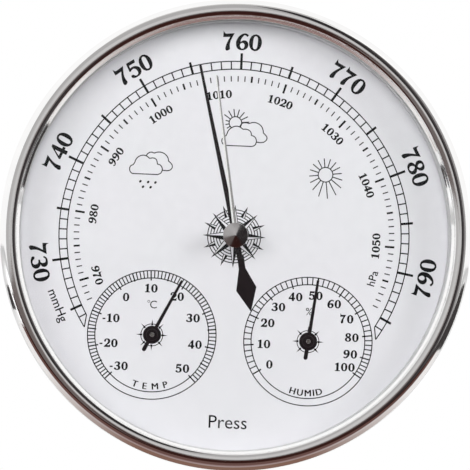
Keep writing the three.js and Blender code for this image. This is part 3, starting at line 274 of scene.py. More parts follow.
# ---- adjusting screw
# A slotted brass screw in the back, turned with a screwdriver to set the barometer to the local pressure.
# It presses on the leaf that carries the capsule.
ADJUSTER = [(0, 0.6, 0), (2.6, 0.6, 0.2), (2.6, 2.2, 0.1), (1.5, 2.2, 0), (1.5, 6.4, 0.3), (0, 6.4, 0)]
slotted_adjuster = make_piece(slotted(ADJUSTER, ADJUSTER_PLACE), "slotted_adjuster", brass, "adjuster")
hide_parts("adjusting_screw")


# ---- thermometer and hygrometer units
# A pressed steel cup behind each sub-dial holds a coil that turns a thin staff.
# The thermometer's coil is a bimetal strip, the hygrometer's a metal strip with a humidity-sensitive coat.
bimetal = finish("bimetal_strip", ((0.28, 0.24, 0.19), (0.37, 0.32, 0.26)), 0.7, (0.30, 0.45), 0.003,
                 metallic=1)
humidity_film = finish("humidity_coat", ((0.13, 0.12, 0.09), (0.18, 0.17, 0.12)), 0.4, (0.55, 0.75), 0.01)
dress(zinc_steel, "thermometer_cage", "hygrometer_cage")
dress(bimetal, "thermometer_coil")
dress(humidity_film, "hygrometer_coil")
dress(nickel_steel, "thermometer_staff", "hygrometer_staff")


# ---- dial plate
# A thin steel disc, enamelled satin white, that lies on the ledge in the mouth of the case.
# Three round holes pass the shafts of the hands.
DIAL_BACK, DIAL_FRONT = 26.956, 27.756
DIAL_RADIUS, ARBOR_HOLE, STAFF_HOLE = 60, 1.1, 0.63


def thicken(shape, faces, depth):
    """Makes a plate of flat faces, by raising them towards the front."""
    raised = bmesh.ops.extrude_face_region(shape, geom=faces)["geom"]
    top = [part for part in raised if isinstance(part, bmesh.types.BMVert)]
    bmesh.ops.translate(shape, vec=(0, -depth, 0), verts=top)


dial = bmesh.new()
staff_holes = [(STAFF_HOLE, 32, x, z) for x, z in SUB_DIAL_PLACES.values()]
for radius, steps, x, z in [(DIAL_RADIUS, 256, 0, 0), (ARBOR_HOLE, 48, 0, 0)] + staff_holes:
    facing = Matrix.Translation((x, -DIAL_BACK, z)) @ Matrix.Rotation(pi / 2, 4, "X")
    bmesh.ops.create_circle(dial, cap_ends=False, radius=radius, segments=steps, matrix=facing)
bmesh.ops.triangle_fill(dial, use_beauty=True, edges=dial.edges[:])
thicken(dial, dial.faces[:], DIAL_FRONT - DIAL_BACK)
bmesh.ops.recalc_face_normals(dial, faces=dial.faces[:])
white_enamel = finish("white_enamel", ((0.775, 0.770, 0.805), (0.800, 0.795, 0.830)), 3.0, (0.38, 0.46),
                      0.004)
dial_disc = make_piece(dial, "dial_disc", white_enamel, "case")
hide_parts("dial_plate")


# ---- printed pressure scales
# Black ink, screen-printed on the enamel: a ring of cells in mmHg, and an inner row of ticks in hPa.
# The ring stops short of the two sub-dials, and both rows have plain numbers.
INK_DEPTH = 0.03
INK_MIDDLE = DIAL_FRONT + 0.005
# Ticks are (step of the scale, (inner end, outer end, width)), and rings of cells (radius, end angle).
MMHG_STEP, MMHG_TOP = 3.3333, 760
MMHG_TICKS = ((10, (45.55, 49.95, 0.66)), (5, (45.55, 48.9, 0.64)), (1, (45.55, 47.7, 0.34)))
CELL_RINGS, CELL_LINE = ((47.7, 123.65), (45.55, 120.47)), 0.3
MMHG_SIZE, MMHG_PITCH, MMHG_RADIUS, MMHG_END_RADIUS = 4.5, 3.6, 53.1, 53.5
HPA_STEP, HPA_TOP = 2.498, 1013.38
HPA_TICKS = ((10, (41.2, 43.8, 0.56)), (5, (42.1, 43.8, 0.52)), (1, (42.2, 43.7, 0.3)))
HPA_SIZE, HPA_PITCH, HPA_RADIUS = 2.1, 1.77, 38.8
# Outlines at height 1, with a third value at sharp corners.
NUMERALS = {
    "0": [[(0, 1), (0.375, 0.5), (0, 0), (-0.375, 0.5)],
        [(0, 0.915), (0.155, 0.5), (0, 0.085), (-0.155, 0.5)]],
    "1": [[(-0.26, 0.8, 1), (-0.26, 0.86, 1), (0.02, 1, 1), (0.11, 1, 1), (0.11, 0.12, 1), (0.15, 0.06, 1),
        (0.28, 0.05, 1), (0.28, 0, 1), (-0.28, 0, 1), (-0.28, 0.05, 1), (-0.15, 0.06, 1), (-0.11, 0.12, 1),
        (-0.11, 0.8, 1), (-0.15, 0.83, 1)]],
    "2": [[(-0.36, 0, 1), (0.34, 0, 1), (0.38, 0.27, 1), (0.33, 0.27, 1), (0.28, 0.19), (0.18, 0.17, 1),
        (-0.12, 0.17, 1), (0.14, 0.37), (0.31, 0.54), (0.35, 0.72), (0.26, 0.93), (0, 1), (-0.25, 0.93),
        (-0.345, 0.74), (-0.28, 0.64), (-0.2, 0.69), (-0.15, 0.89), (-0.03, 0.92), (0.1, 0.85), (0.13, 0.7),
        (0.07, 0.5), (-0.12, 0.28), (-0.36, 0.06, 1)]],
    "3": [[(-0.31, 0.82, 1), (-0.2, 0.95), (0, 1), (0.24, 0.94), (0.32, 0.78), (0.25, 0.62), (0.12, 0.55, 1),
        (0.28, 0.47), (0.36, 0.29), (0.25, 0.07), (-0.02, 0), (-0.26, 0.04), (-0.37, 0.13), (-0.34, 0.22),
        (-0.25, 0.22), (-0.16, 0.12), (-0.03, 0.075), (0.09, 0.12), (0.13, 0.28), (0.05, 0.43),
        (-0.13, 0.47, 1), (-0.13, 0.53, 1), (0.04, 0.58), (0.1, 0.75), (0.05, 0.87), (-0.06, 0.91),
        (-0.18, 0.88), (-0.26, 0.78, 1)]],
    "4": [[(0.1, 1, 1), (0.23, 1, 1), (0.23, 0.36, 1), (0.37, 0.36, 1), (0.37, 0.22, 1), (0.23, 0.22, 1),
        (0.23, 0, 1), (0.02, 0, 1), (0.02, 0.22, 1), (-0.38, 0.22, 1), (-0.38, 0.3, 1)],
        [(0.02, 0.36, 1), (0.02, 0.8, 1), (-0.26, 0.36, 1)]],
    "5": [[(-0.25, 1, 1), (0.28, 1, 1), (0.24, 0.83, 1), (-0.17, 0.83, 1), (-0.2, 0.62, 1), (-0.05, 0.65),
        (0.22, 0.56), (0.35, 0.33), (0.24, 0.08), (-0.03, 0), (-0.27, 0.04), (-0.36, 0.13), (-0.32, 0.22),
        (-0.22, 0.21), (-0.13, 0.1), (-0.02, 0.075), (0.1, 0.14), (0.13, 0.33), (0.06, 0.5), (-0.09, 0.545),
        (-0.26, 0.47, 1), (-0.31, 0.5, 1)]],
    "6": [[(0.37, 0.9, 1), (0.28, 0.97), (0.14, 1), (-0.12, 0.88), (-0.3, 0.65), (-0.365, 0.38), (-0.26, 0.09),
        (0, 0), (0.26, 0.1), (0.365, 0.31), (0.3, 0.5), (0.12, 0.575), (-0.02, 0.53), (-0.12, 0.45, 1),
        (-0.1, 0.62), (0.02, 0.82), (0.14, 0.92), (0.25, 0.87), (0.31, 0.82, 1)],
        [(-0.14, 0.34), (-0.02, 0.44), (0.12, 0.4), (0.16, 0.25), (0.11, 0.11), (0.02, 0.065), (-0.1, 0.14)]],
    "7": [[(-0.3, 1.12, 1), (-0.23, 1, 1), (-0.14, 0.97, 1), (0.33, 0.99, 1), (0.16, 0.7), (0.04, 0.42),
        (0.02, 0.2), (0.03, 0.06, 1), (-0.05, 0), (-0.18, -0.02), (-0.22, 0.05), (-0.2, 0.2), (-0.11, 0.44),
        (0.1, 0.8, 1), (-0.26, 0.8, 1), (-0.33, 0.8, 1)]],
    "8": [[(0, 1), (0.26, 0.93), (0.31, 0.77), (0.22, 0.6), (0.14, 0.54), (0.28, 0.44), (0.365, 0.27),
        (0.26, 0.07), (0, 0), (-0.26, 0.07), (-0.365, 0.25), (-0.27, 0.43), (-0.15, 0.51), (-0.27, 0.62),
        (-0.31, 0.77), (-0.24, 0.93)],
        [(0, 0.925), (0.13, 0.82), (0.1, 0.65), (0, 0.6), (-0.12, 0.72), (-0.11, 0.86)],
        [(-0.03, 0.45), (0.1, 0.36), (0.17, 0.2), (0.08, 0.09), (-0.02, 0.07), (-0.15, 0.15), (-0.16, 0.31)]],
    "-": [[(-0.15, 0.33, 1), (0.15, 0.33, 1), (0.15, 0.44, 1), (-0.15, 0.44, 1)]],
}
black_ink = finish("black_print_ink", ((0.005, 0.005, 0.006), (0.008, 0.008, 0.009)), 0.6, (0.50, 0.65),
                   0.002, specular=0.1)


def flat_mesh(drawing):
    """The mesh of a flat curve or of text."""
    holder = bpy.data.objects.new("drawing", drawing)
    scene.collection.objects.link(holder)
    graph = bpy.context.evaluated_depsgraph_get()
    mesh = bpy.data.meshes.new_from_object(holder.evaluated_get(graph))
    bpy.data.objects.remove(holder)
    return mesh


def add_curve(drawing, points, scale, closed):
    """Adds a smooth curve through points to a drawing: a third value marks a sharp corner."""
    spline = drawing.splines.new("BEZIER")
    spline.bezier_points.add(len(points) - 1)
    spline.use_cyclic_u = closed
    for point, (x, y, *corner) in zip(spline.bezier_points, points):
        point.co = (x * scale, y * scale, 0)
        point.handle_left_type = point.handle_right_type = "VECTOR" if corner else "AUTO"


def drawn_sign(loops, weight):
    """A flat sign from its outlines, at height 1, made bolder by a weight."""
    sign = bpy.data.curves.new("sign", "CURVE")
    sign.dimensions = "2D"
    sign.fill_mode = "BOTH"
    sign.resolution_u = 4
    sign.extrude = INK_DEPTH / 2
    sign.offset = weight
    for loop in loops:
        add_curve(sign, loop, 1, True)
    return flat_mesh(sign)


def drawn_numerals(weight):
    """The flat signs of the ten digits and the minus: the nine is the six upside down."""
    signs = {sign: drawn_sign(loops, weight) for sign, loops in NUMERALS.items()}
    signs["9"] = signs["6"].copy()
    signs["9"].transform(Matrix.Translation((0, 1, 0)) @ Matrix.Rotation(pi, 4, "Z"))
    return signs


def print_sign(ink, sign, size, x, z, turn=0):
    """Adds a sign to a print, with its middle at x, z, turned clockwise."""
    placed = sign.copy()
    placed.transform(Matrix.Translation((x, -INK_MIDDLE, z)) @ Matrix.Rotation(turn, 4, "Y")
                     @ Matrix.Rotation(pi / 2, 4, "X") @ Matrix.Diagonal((size, size, 1, 1))
                     @ Matrix.Translation((0, -0.5, 0)))
    ink.from_mesh(placed)
    bpy.data.meshes.remove(placed)


def print_tick(ink, angle, inner, outer, width, centre=(0, 0)):
    """Adds a straight tick between two radii of a scale."""
    place = (Matrix.Translation((centre[0], -INK_MIDDLE, centre[1])) @ Matrix.Rotation(radians(angle), 4, "Y")
             @ Matrix.Translation((0, 0, (inner + outer) / 2))
             @ Matrix.Diagonal((width, INK_DEPTH, outer - inner, 1)))
    bmesh.ops.create_cube(ink, size=1, matrix=place)


def tick_size(value, ticks):
    """The ends and width of a value's tick: the first step that the value is a multiple of."""
    return next(size for step, size in ticks if value % step == 0)


def print_ring(ink, radius, width, centre=(0, 0), start=0, end=360):
    """Adds a ring, or the arc of one between two angles clockwise from the top."""
    middle = Vector((centre[0], -INK_MIDDLE, centre[1]))
    section = []
    for side, height in ((-1, -1), (1, -1), (1, 1), (-1, 1)):
        corner = Vector((0, height * INK_DEPTH / 2, radius + side * width / 2))
        section.append(ink.verts.new(middle + Matrix.Rotation(radians(start), 3, "Y") @ corner))
    face = ink.faces.new(section)
    sweep = section + list(face.edges) + [face]
    whole = end - start > 359.9
    if whole:
        sweep.remove(face)
        bmesh.ops.delete(ink, geom=[face], context="FACES_ONLY")
    bmesh.ops.spin(ink, geom=sweep, axis=(0, 1, 0), cent=middle, angle=radians(end - start),
                   steps=max(24, int((end - start) * radius / 40)), use_merge=whole)


def print_number(ink, signs, text, size, angle, radius, pitch):
    """Adds a number along a circle, upside up in the upper half and turned over below it."""
    over = abs(angle) > 90
    for place, sign in enumerate(text):
        offset = (place - (len(text) - 1) / 2) * pitch / radius
        at = radians(angle) + (-offset if over else offset)
        print_sign(ink, signs[sign], size, radius * sin(at), radius * cos(at), at + (pi if over else 0))


def finish_print(ink, name, material=black_ink):
    """Closes a print's seams and puts it on the dial."""
    bmesh.ops.remove_doubles(ink, verts=ink.verts[:], dist=0.0008)
    bmesh.ops.recalc_face_normals(ink, faces=ink.faces[:])
    piece = make_piece(ink, name, material, "case")


SIGNS = drawn_numerals(weight=0.015)
SMALL_SIGNS = drawn_numerals(weight=0.03)
cells = bmesh.new()
for radius, end in CELL_RINGS:
    print_ring(cells, radius, CELL_LINE, start=-end, end=end)
for pressure in range(724, 797):
    print_tick(cells, (pressure - MMHG_TOP) * MMHG_STEP, *tick_size(pressure, MMHG_TICKS))
for side in (-1, 1):
    outer, inner = [Vector((radius * sin(radians(side * end)), -INK_MIDDLE, radius * cos(radians(end))))
                    for radius, end in CELL_RINGS]
    bar = outer - inner
    place = (Matrix.Translation((inner + outer) / 2) @ Matrix.Rotation(atan2(bar.x, bar.z), 4, "Y")
             @ Matrix.Diagonal((CELL_LINE, INK_DEPTH, bar.length, 1)))
    bmesh.ops.create_cube(cells, size=1, matrix=place)
finish_print(cells, "mmhg_cells_print")

numbers = bmesh.new()
for pressure in range(730, 800, 10):
    radius = MMHG_END_RADIUS if pressure in (730, 790) else MMHG_RADIUS
    angle = (pressure - MMHG_TOP) * MMHG_STEP
    print_number(numbers, SIGNS, str(pressure), MMHG_SIZE, angle, radius, MMHG_PITCH)
finish_print(numbers, "mmhg_numbers_print")

ticks = bmesh.new()
for pressure in range(967, 1060):
    print_tick(ticks, (pressure - HPA_TOP) * HPA_STEP, *tick_size(pressure, HPA_TICKS))
for pressure in range(970, 1060, 10):
    angle = (pressure - HPA_TOP) * HPA_STEP
    print_number(ticks, SMALL_SIGNS, str(pressure), HPA_SIZE, angle, HPA_RADIUS, HPA_PITCH)
finish_print(ticks, "hpa_scale_print")


# ---- printed unit signs and labels
# The units of the four scales and a plain label for each instrument, in the same ink.
# Labels on the sub-dials follow the lower arc of the scale, each letter printed twice for a bolder stem.
FONT_CAP = 0.69
STEM_NUDGE = 0.08
ARC_SIZE, ARC_RADIUS = 1.75, 14


def lettering(text, weight=0):
    """The mesh of a word in plain letters, with capitals of height 1 and its middle at x 0."""
    word = bpy.data.curves.new("word", "FONT")
    word.body = text
    word.align_x = "CENTER"
    word.extrude = INK_DEPTH / 2
    word.offset = weight
    word.resolution_u = 3
    mesh = flat_mesh(word)
    mesh.transform(Matrix.Diagonal((1 / FONT_CAP, 1 / FONT_CAP, 1, 1)))
    return mesh


def print_on_arc(ink, text, centre, gap):
    """Adds a word on the lower arc of a sub-dial, with the tops of its letters towards the middle."""
    letters = [lettering(letter) for letter in text]
    edges = [[vert.co.x for vert in letter.vertices] for letter in letters]
    spans = [(min(xs), max(xs)) for xs in edges]
    along = -(sum(high - low for low, high in spans) * ARC_SIZE + gap * (len(text) - 1)) / 2
    for letter, (low, high) in zip(letters, spans):
        width = (high - low) * ARC_SIZE
        turn = -(along + width / 2) / ARC_RADIUS
        x, z = centre[0] - ARC_RADIUS * sin(turn), centre[1] - ARC_RADIUS * cos(turn)
        for nudge in (-STEM_NUDGE, STEM_NUDGE):
            shifted = letter.copy()
            shifted.transform(Matrix.Translation((nudge / ARC_SIZE - (low + high) / 2, 0, 0)))
            print_sign(ink, shifted, ARC_SIZE, x, z, turn)
        along += width + gap


labels = bmesh.new()
for text, size, angle, radius in (("mmHg", 2.4, -113.8, 51.5), ("hPa", 2.1, 104.5, 39.4)):
    at = radians(angle)
    print_sign(labels, lettering(text, 0.008), size, radius * sin(at), radius * cos(at), at + pi)
print_sign(labels, lettering("Press"), 3.5, 0.3, -50.6)
print_on_arc(labels, "TEMP", SUB_DIAL_PLACES["thermometer"], gap=1.5)
print_on_arc(labels, "HUMID", SUB_DIAL_PLACES["hygrometer"], gap=0.6)
x, z = SUB_DIAL_PLACES["thermometer"]
print_sign(labels, lettering("C"), 2.1, x + 0.1, z + 8.3)
print_ring(labels, 0.3, 0.13, centre=(x - 1.2, z + 9.1))
x, z = SUB_DIAL_PLACES["hygrometer"]
print_sign(labels, lettering("%"), 2, x, z + 8.2)
finish_print(labels, "unit_signs_print")


# ---- printed sub-dials
# Two scales with a ring of cells each, upright numbers and a small star ring round the hub.
# The thermometer is nearly even; the hygrometer's steps follow its coil.
HUMIDITY_STOPS = (-123, -95.5, -67.5, -42.9, -17.8, 7.3, 32.6, 57.4, 82.3, 104.2, 122.3)
SUB_RINGS, SUB_LINE = (17.5, 15.5), 0.28
SUB_TICKS = ((10, (14.8, 17.5, 0.36)), (5, (15.2, 17.5, 0.36)), (1, (15.5, 17.5, 0.3)))
SUB_SIZE, SUB_PITCHES, SUB_PITCH = 2.2, {"-": 1.35, "1": 1.7}, 1.98
SUB_RADIUS, SUB_RISE = 12, 0.7
STAR_RING, STAR_LINE, STAR_SPIKE = 3, 0.22, ((-0.28, 2.6), (0.28, 2.6), (0, 4.3))


def temperature_angle(degrees_c):
    """Where a temperature stands on its scale, clockwise from the top."""
    past_ten = degrees_c - 10
    return -3 + 3.38 * past_ten + 0.0019 * past_ten ** 2


def humidity_angle(percent):
    """Where a humidity stands on its scale, clockwise from the top."""
    step = min(int(percent // 10), 9)
    low, high = HUMIDITY_STOPS[step:step + 2]
    return low + (high - low) * (percent / 10 - step)


def print_upright(ink, text, centre, angle):
    """Adds an upright number inside a sub-dial's ring, further out at the top and the bottom."""
    at = radians(angle)
    radius = SUB_RADIUS + SUB_RISE * cos(at) ** 2
    pitches = [SUB_PITCHES.get(sign, SUB_PITCH) for sign in text]
    x = centre[0] + radius * sin(at) - sum(pitches) / 2
    z = centre[1] + radius * cos(at)
    for sign, pitch in zip(text, pitches):
        print_sign(ink, SMALL_SIGNS[sign], SUB_SIZE, x + pitch / 2, z)
        x += pitch


def print_sub_dial(name, angle_of, values):
    """Prints a sub-dial: two rings, a tick for each value, a number at each ten and the star ring."""
    ink = bmesh.new()
    centre = SUB_DIAL_PLACES[name]
    for radius in SUB_RINGS:
        print_ring(ink, radius, SUB_LINE, centre)
    for value in values:
        print_tick(ink, angle_of(value), *tick_size(value, SUB_TICKS), centre)
    for value in values:
        if value % 10 == 0:
            print_upright(ink, str(value), centre, angle_of(value))
    print_ring(ink, STAR_RING, STAR_LINE, centre)
    middle = Vector((centre[0], -INK_MIDDLE, centre[1]))
    for spike in range(8):
        tip = Matrix.Rotation(radians(spike * 45), 3, "Y")
        corners = [middle + tip @ Vector((x, y * INK_DEPTH / 2, z)) for y in (-1, 1) for x, z in STAR_SPIKE]
        bmesh.ops.convex_hull(ink, input=[ink.verts.new(corner) for corner in corners])
    finish_print(ink, f"{name}_scale_print")


print_sub_dial("thermometer", temperature_angle, range(-30, 51))
print_sub_dial("hygrometer", humidity_angle, range(0, 101, 2))


# ---- printed compass rose
# Sixteen points round the knob, each half black and half white, over five thin rings.
# The white halves are printed over the black ones, inside a thin black edge.
ROSE_RINGS, ROSE_LINE = (7.23, 6.41, 5.63, 4.87, 4.08), 0.26
ROSE_POINTS = ((2.4, 8.6, 1.2), (5.5, 8.9, 0.7))  # foot, tip and half width, by turns
ROSE_BLACK = (DIAL_FRONT - 0.01, DIAL_FRONT + 0.026)
ROSE_WHITE = (DIAL_FRONT + 0.02, DIAL_FRONT + 0.032)


def add_plate(shape, outline, low, high):
    """Adds a flat plate with an outline of (x, z) between two heights."""
    face = shape.faces.new([shape.verts.new((x, -low, z)) for x, z in outline])
    thicken(shape, [face], high - low)


def turned_outline(outline, angle):
    """An outline of (x, z) turned clockwise about the dial's middle."""
    s, c = sin(radians(angle)), cos(radians(angle))
    return [(x * c + z * s, z * c - x * s) for x, z in outline]


rose = bmesh.new()
rose_white = bmesh.new()
for radius in ROSE_RINGS:
    print_ring(rose, radius, ROSE_LINE)
for point in range(16):
    angle = point * 22.5
    foot, tip, half = ROSE_POINTS[point % 2]
    black = [(-half, foot), (half, foot), (0, tip)]
    white = [(0.06, foot + 0.15), (half - 0.26, foot + 0.15), (0.06, tip - 1.1)]
    add_plate(rose, turned_outline(black, angle), *ROSE_BLACK)
    add_plate(rose_white, turned_outline(white, angle), *ROSE_WHITE)
finish_print(rose, "compass_rose_print")
finish_print(rose_white, "compass_rose_white", white_enamel)


# ---- printed weather signs
# Plain line drawings in the same ink: rain clouds at the left, sun and clouds at the top, sun at the right.
# Outlines are in mm round the sign's middle, with a third value at the notches.
LINE = 0.28
SIGN_SCALE = 1.04
DROP_WIDTH, DROP_LENGTH, DROP_TILT = 0.31, 0.41, 40
HALF_SUN, SUN = 1.7, 2


def print_line(ink, points, centre, closed):
    """Adds a drawn line through points, as a flat strip of ink."""
    drawing = bpy.data.curves.new("line", "CURVE")
    drawing.dimensions = "3D"
    drawing.fill_mode = "FULL"
    drawing.bevel_depth = LINE / 2
    drawing.bevel_resolution = 1
    drawing.use_fill_caps = True
    drawing.resolution_u = 4
    add_curve(drawing, points, SIGN_SCALE, closed)
    mesh = flat_mesh(drawing)
    mesh.transform(Matrix.Translation((0, 0.5, 0)) @ Matrix.Diagonal((1, 1, INK_DEPTH / LINE, 1)))
    print_sign(ink, mesh, 1, *centre)


signs = bmesh.new()
rain = (-23.55, 18.6)
print_line(signs, [
    (-4.7, -2.6, 1), (-5.2, -2.2), (-5.45, -1.4), (-5.2, -0.6), (-4.6, -0.3, 1), (-4.2, 0.3), (-4, 0.9),
    (-3.4, 1.75), (-2.2, 2.3), (-1.2, 2.15), (-0.3, 1.55, 1), (0.6, 1.7), (1.3, 1.45), (1.65, 0.75),
    (1.8, 0.1, 1), (2.4, 0), (2.9, -0.5), (3.1, -1.25), (2.7, -2.2), (1.9, -2.6, 1)], rain, True)
print_line(signs, [
    (-1.3, 2.2), (-0.8, 2.85), (0, 3.2), (0.8, 3, 1), (1.85, 3.3), (2.95, 3.2), (3.9, 2.65), (4.5, 1.8),
    (4.65, 1.05, 1), (5.4, 0.4), (5.7, -0.25), (5.45, -1), (4.8, -1.4), (3.1, -1.4)], rain, False)
for x, z in ((-2.5, -4.55), (-0.45, -4.65), (1.45, -4.7), (-1.75, -5.95), (0.25, -6)):
    drop = (Matrix.Translation((rain[0] + x * SIGN_SCALE, -INK_MIDDLE, rain[1] + z * SIGN_SCALE))
            @ Matrix.Rotation(radians(DROP_TILT), 4, "Y")
            @ Matrix.Diagonal((DROP_WIDTH, INK_DEPTH / 2, DROP_LENGTH, 1)))
    bmesh.ops.create_uvsphere(signs, u_segments=12, v_segments=8, radius=1, matrix=drop)

cloudy = (1.7, 28.1)
print_line(signs, [
    (-4.5, -3.3, 1), (1.9, -3.3, 1), (2.7, -3), (3.15, -2.1), (3.05, -1.4), (2.6, -0.7), (1.75, -0.4, 1),
    (1.7, 0.2), (1.2, 0.85), (0.4, 1.15), (-0.45, 1.1, 1), (-1.4, 1.7), (-2.3, 1.85), (-3.4, 1.45),
    (-4.2, 0.75), (-4.7, -0.4), (-4.85, -0.75, 1), (-5.7, -1.4), (-5.9, -2.25), (-5.5, -3)], cloudy, True)
print_line(signs, [
    (-1.4, 1.7), (-0.8, 2.6), (0.2, 2.85), (1, 2.7, 1), (2.2, 3), (3.2, 2.85), (4.3, 2.1), (4.8, 1),
    (4.9, 0.35, 1), (5.6, -0.3), (5.9, -0.95), (5.5, -1.75), (4.6, -2.15), (3.1, -2.1)], cloudy, False)
half_sun = (cloudy[0] - 2.55 * SIGN_SCALE, cloudy[1] + 2.7 * SIGN_SCALE)
print_ring(signs, HALF_SUN, LINE, half_sun, start=-143, end=125)
for ray in range(10):
    print_tick(signs, -125 + 23.3 * ray, HALF_SUN, 2.75 if ray < 3 else 3.8, LINE, half_sun)

sun = (24.2, 17.85)
print_ring(signs, SUN, LINE, sun)
for ray in range(16):
    angle = 22.5 * ray - 7
    reach = 4.45 + 2.1 * max(0, cos(radians(angle - 172))) ** 2
    print_tick(signs, angle, SUN, reach, LINE, sun)
finish_print(signs, "weather_signs_print")


# ---- thermometer and hygrometer hands
# Stamped steel hands in satin black, each with a round tail and a pressed hub on its staff.
# They stand at 18.7 degrees and 50 per cent.
SUB_HAND_RESTS = {"thermometer": 26.7, "hygrometer": 6.9}
SUB_HAND_BACK, SUB_HAND_FRONT, SUB_HUB_FRONT = 28.956, 29.356, 29.856
SUB_HAND_LENGTH, SUB_TAIL_LENGTH = 16.9, 4.5
SUB_HUB_RADIUS, SUB_HUB_BORE, HUB_STEPS = 2.47, 0.6, 64
satin_black = finish("satin_black_paint", ((0.008, 0.006, 0.007), (0.014, 0.009, 0.011)), 0.7, (0.30, 0.42),
                     0.003, specular=0.12)


def round_end(radius, z, steps=8):
    """The lower half of a circle, from its right to its left."""
    turns = [pi * step / steps for step in range(steps + 1)]
    return [(radius * cos(turn), z - radius * sin(turn)) for turn in turns]


def soften(shape, height, offset):
    """Rounds the edges of a stamped plate at one height."""
    bmesh.ops.recalc_face_normals(shape, faces=shape.faces[:])
    edges = [edge for edge in shape.edges if all(abs(vert.co.y + height) < 1e-4 for vert in edge.verts)]
    bmesh.ops.bevel(shape, geom=edges, offset=offset, affect="EDGES", segments=2, profile=0.5, material=-1)


def stand(hand, angle, place=(0, 0)):
    """Turns a hand clockwise from the top and moves it to its place."""
    matrix = Matrix.Translation((place[0], 0, place[1])) @ Matrix.Rotation(radians(angle), 4, "Y")
    bmesh.ops.transform(hand, matrix=matrix, verts=hand.verts[:])


for name, place in SUB_DIAL_PLACES.items():
    hand = bmesh.new()
    outline = [(-0.34, SUB_HAND_LENGTH), (0.34, SUB_HAND_LENGTH), (0.5, 0),
               *round_end(0.55, -SUB_TAIL_LENGTH), (-0.5, 0)]
    add_plate(hand, outline, SUB_HAND_BACK, SUB_HAND_FRONT)
    soften(hand, SUB_HAND_FRONT, 0.08)
    hub = turned([(0, SUB_HAND_BACK, 0), (SUB_HUB_RADIUS, SUB_HAND_BACK, 0.05), (SUB_HUB_RADIUS, 29.42, 0.12),
                  (1.6, 29.5, 0), (1.5, SUB_HUB_FRONT, 0.12), (0, SUB_HUB_FRONT, 0)], HUB_STEPS)
    hand = carved(hand, hub, "UNION")
    bore = bmesh.new()
    add_rod(bore, (0, 0), 28.5, 30.5, SUB_HUB_BORE, HUB_STEPS)
    hand = carved(hand, bore, "DIFFERENCE")
    stand(hand, SUB_HAND_RESTS[name], place)
    sub_hand = make_piece(hand, f"{name}_pointer", satin_black, f"{name}_hand", shadow=False)
    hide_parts(f"{name}_hand")


# ---- pressure hand
# A long stamped hand in satin black with a diamond tail, pressed on the movement's arbor.
# It stands a little below 756 mmHg.
PRESSURE_REST = -14
PRESSURE_HAND_OFFSET = 0.19
PRESSURE_HAND_BACK, PRESSURE_HAND_FRONT = 30.906, 31.306
PRESSURE_HUB = [(0, 30.206, 0), (2.2, 30.206, 0.15), (2.2, 32.006, 0.2), (0, 32.006, 0)]
hand = bmesh.new()
right_side = [(0.33, 47.6), (0.78, 0), (0.78, -7), (0.95, -9.2), (2.8, -14.8)]
left_side = [(-x, z) for x, z in reversed(right_side)]
outline = [(x + PRESSURE_HAND_OFFSET, z) for x, z in right_side + [(0, -21.1)] + left_side]
add_plate(hand, outline, PRESSURE_HAND_BACK, PRESSURE_HAND_FRONT)
soften(hand, PRESSURE_HAND_FRONT, 0.1)
hand = carved(hand, turned(PRESSURE_HUB, HUB_STEPS), "UNION")
stand(hand, PRESSURE_REST)
pressure_pointer = make_piece(hand, "pressure_pointer", satin_black, "pressure_hand", shadow=False)
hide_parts("pressure_hand")


# ---- spacer ring and gasket
# A pale plastic ring keeps the glass off the dial, and a grey rubber ring seats the glass on the case.
# Both are loose in the mouth and are held by the bezel.
SPACER_BORE, SPACER_BACK, SEAL_BACK, GLASS_SEAT = 58.3, 27.856, 33.256, 33.856


def turned_ring(inner, outer, low, high, inner_round, outer_round, steps):
    """A plain ring between two radii and two heights, with its edges rounded."""
    return turned([(inner, low, inner_round), (outer, low, outer_round), (outer, high, outer_round),
                   (inner, high, inner_round)], steps)


pale_plastic = finish("pale_spacer_plastic", ((0.66, 0.66, 0.67), (0.71, 0.71, 0.72)), 1.2, (0.40, 0.55), 0.006)
spacer = turned_ring(SPACER_BORE, DIAL_RADIUS, SPACER_BACK, GLASS_SEAT, 0.1, 0.1, RIM_STEPS)
dial_spacer = make_piece(spacer, "dial_spacer", pale_plastic, "case")
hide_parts("spacer_ring")
grey_rubber = finish("grey_sealing_rubber", ((0.036, 0.036, 0.038), (0.050, 0.050, 0.053)), 0.4, (0.70, 0.85),
                     0.01)
seal = turned_ring(MOUTH_BORE, MOUTH_RADIUS, SEAL_BACK, GLASS_SEAT, 0.2, 0.2, RIM_STEPS)
glass_seal = make_piece(seal, "glass_seal", grey_rubber, "case")
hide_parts("lens_gasket")


# ---- glass
# A flat disc of clear glass, 2 mm thick, with ground edges and a drilled hole for the set pointer.
# It lies on the gasket and the spacer, under the bezel's flange.
GLASS_BACK, GLASS_FRONT, GLASS_HOLE = 33.956, 35.956, 2.18
clear_glass = finish("clear_flat_glass", ((1, 1, 1), (0.985, 1, 0.99)), 30, (0, 0.006), 0)
glass_shader = clear_glass.node_tree.nodes["Principled BSDF"]
glass_shader.inputs["Transmission Weight"].default_value = 1.0
glass_shader.inputs["IOR"].default_value = 1.45
glass_shader.inputs["Specular Tint"].default_value = (0.3, 0.3, 0.3, 1)
glass = turned_ring(GLASS_HOLE, MOUTH_RADIUS, GLASS_BACK, GLASS_FRONT, 0.1, 0.15, RIM_STEPS)
front_glass = make_piece(glass, "front_glass", clear_glass, "case", sharp=10, shadow=False)
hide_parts("lens")


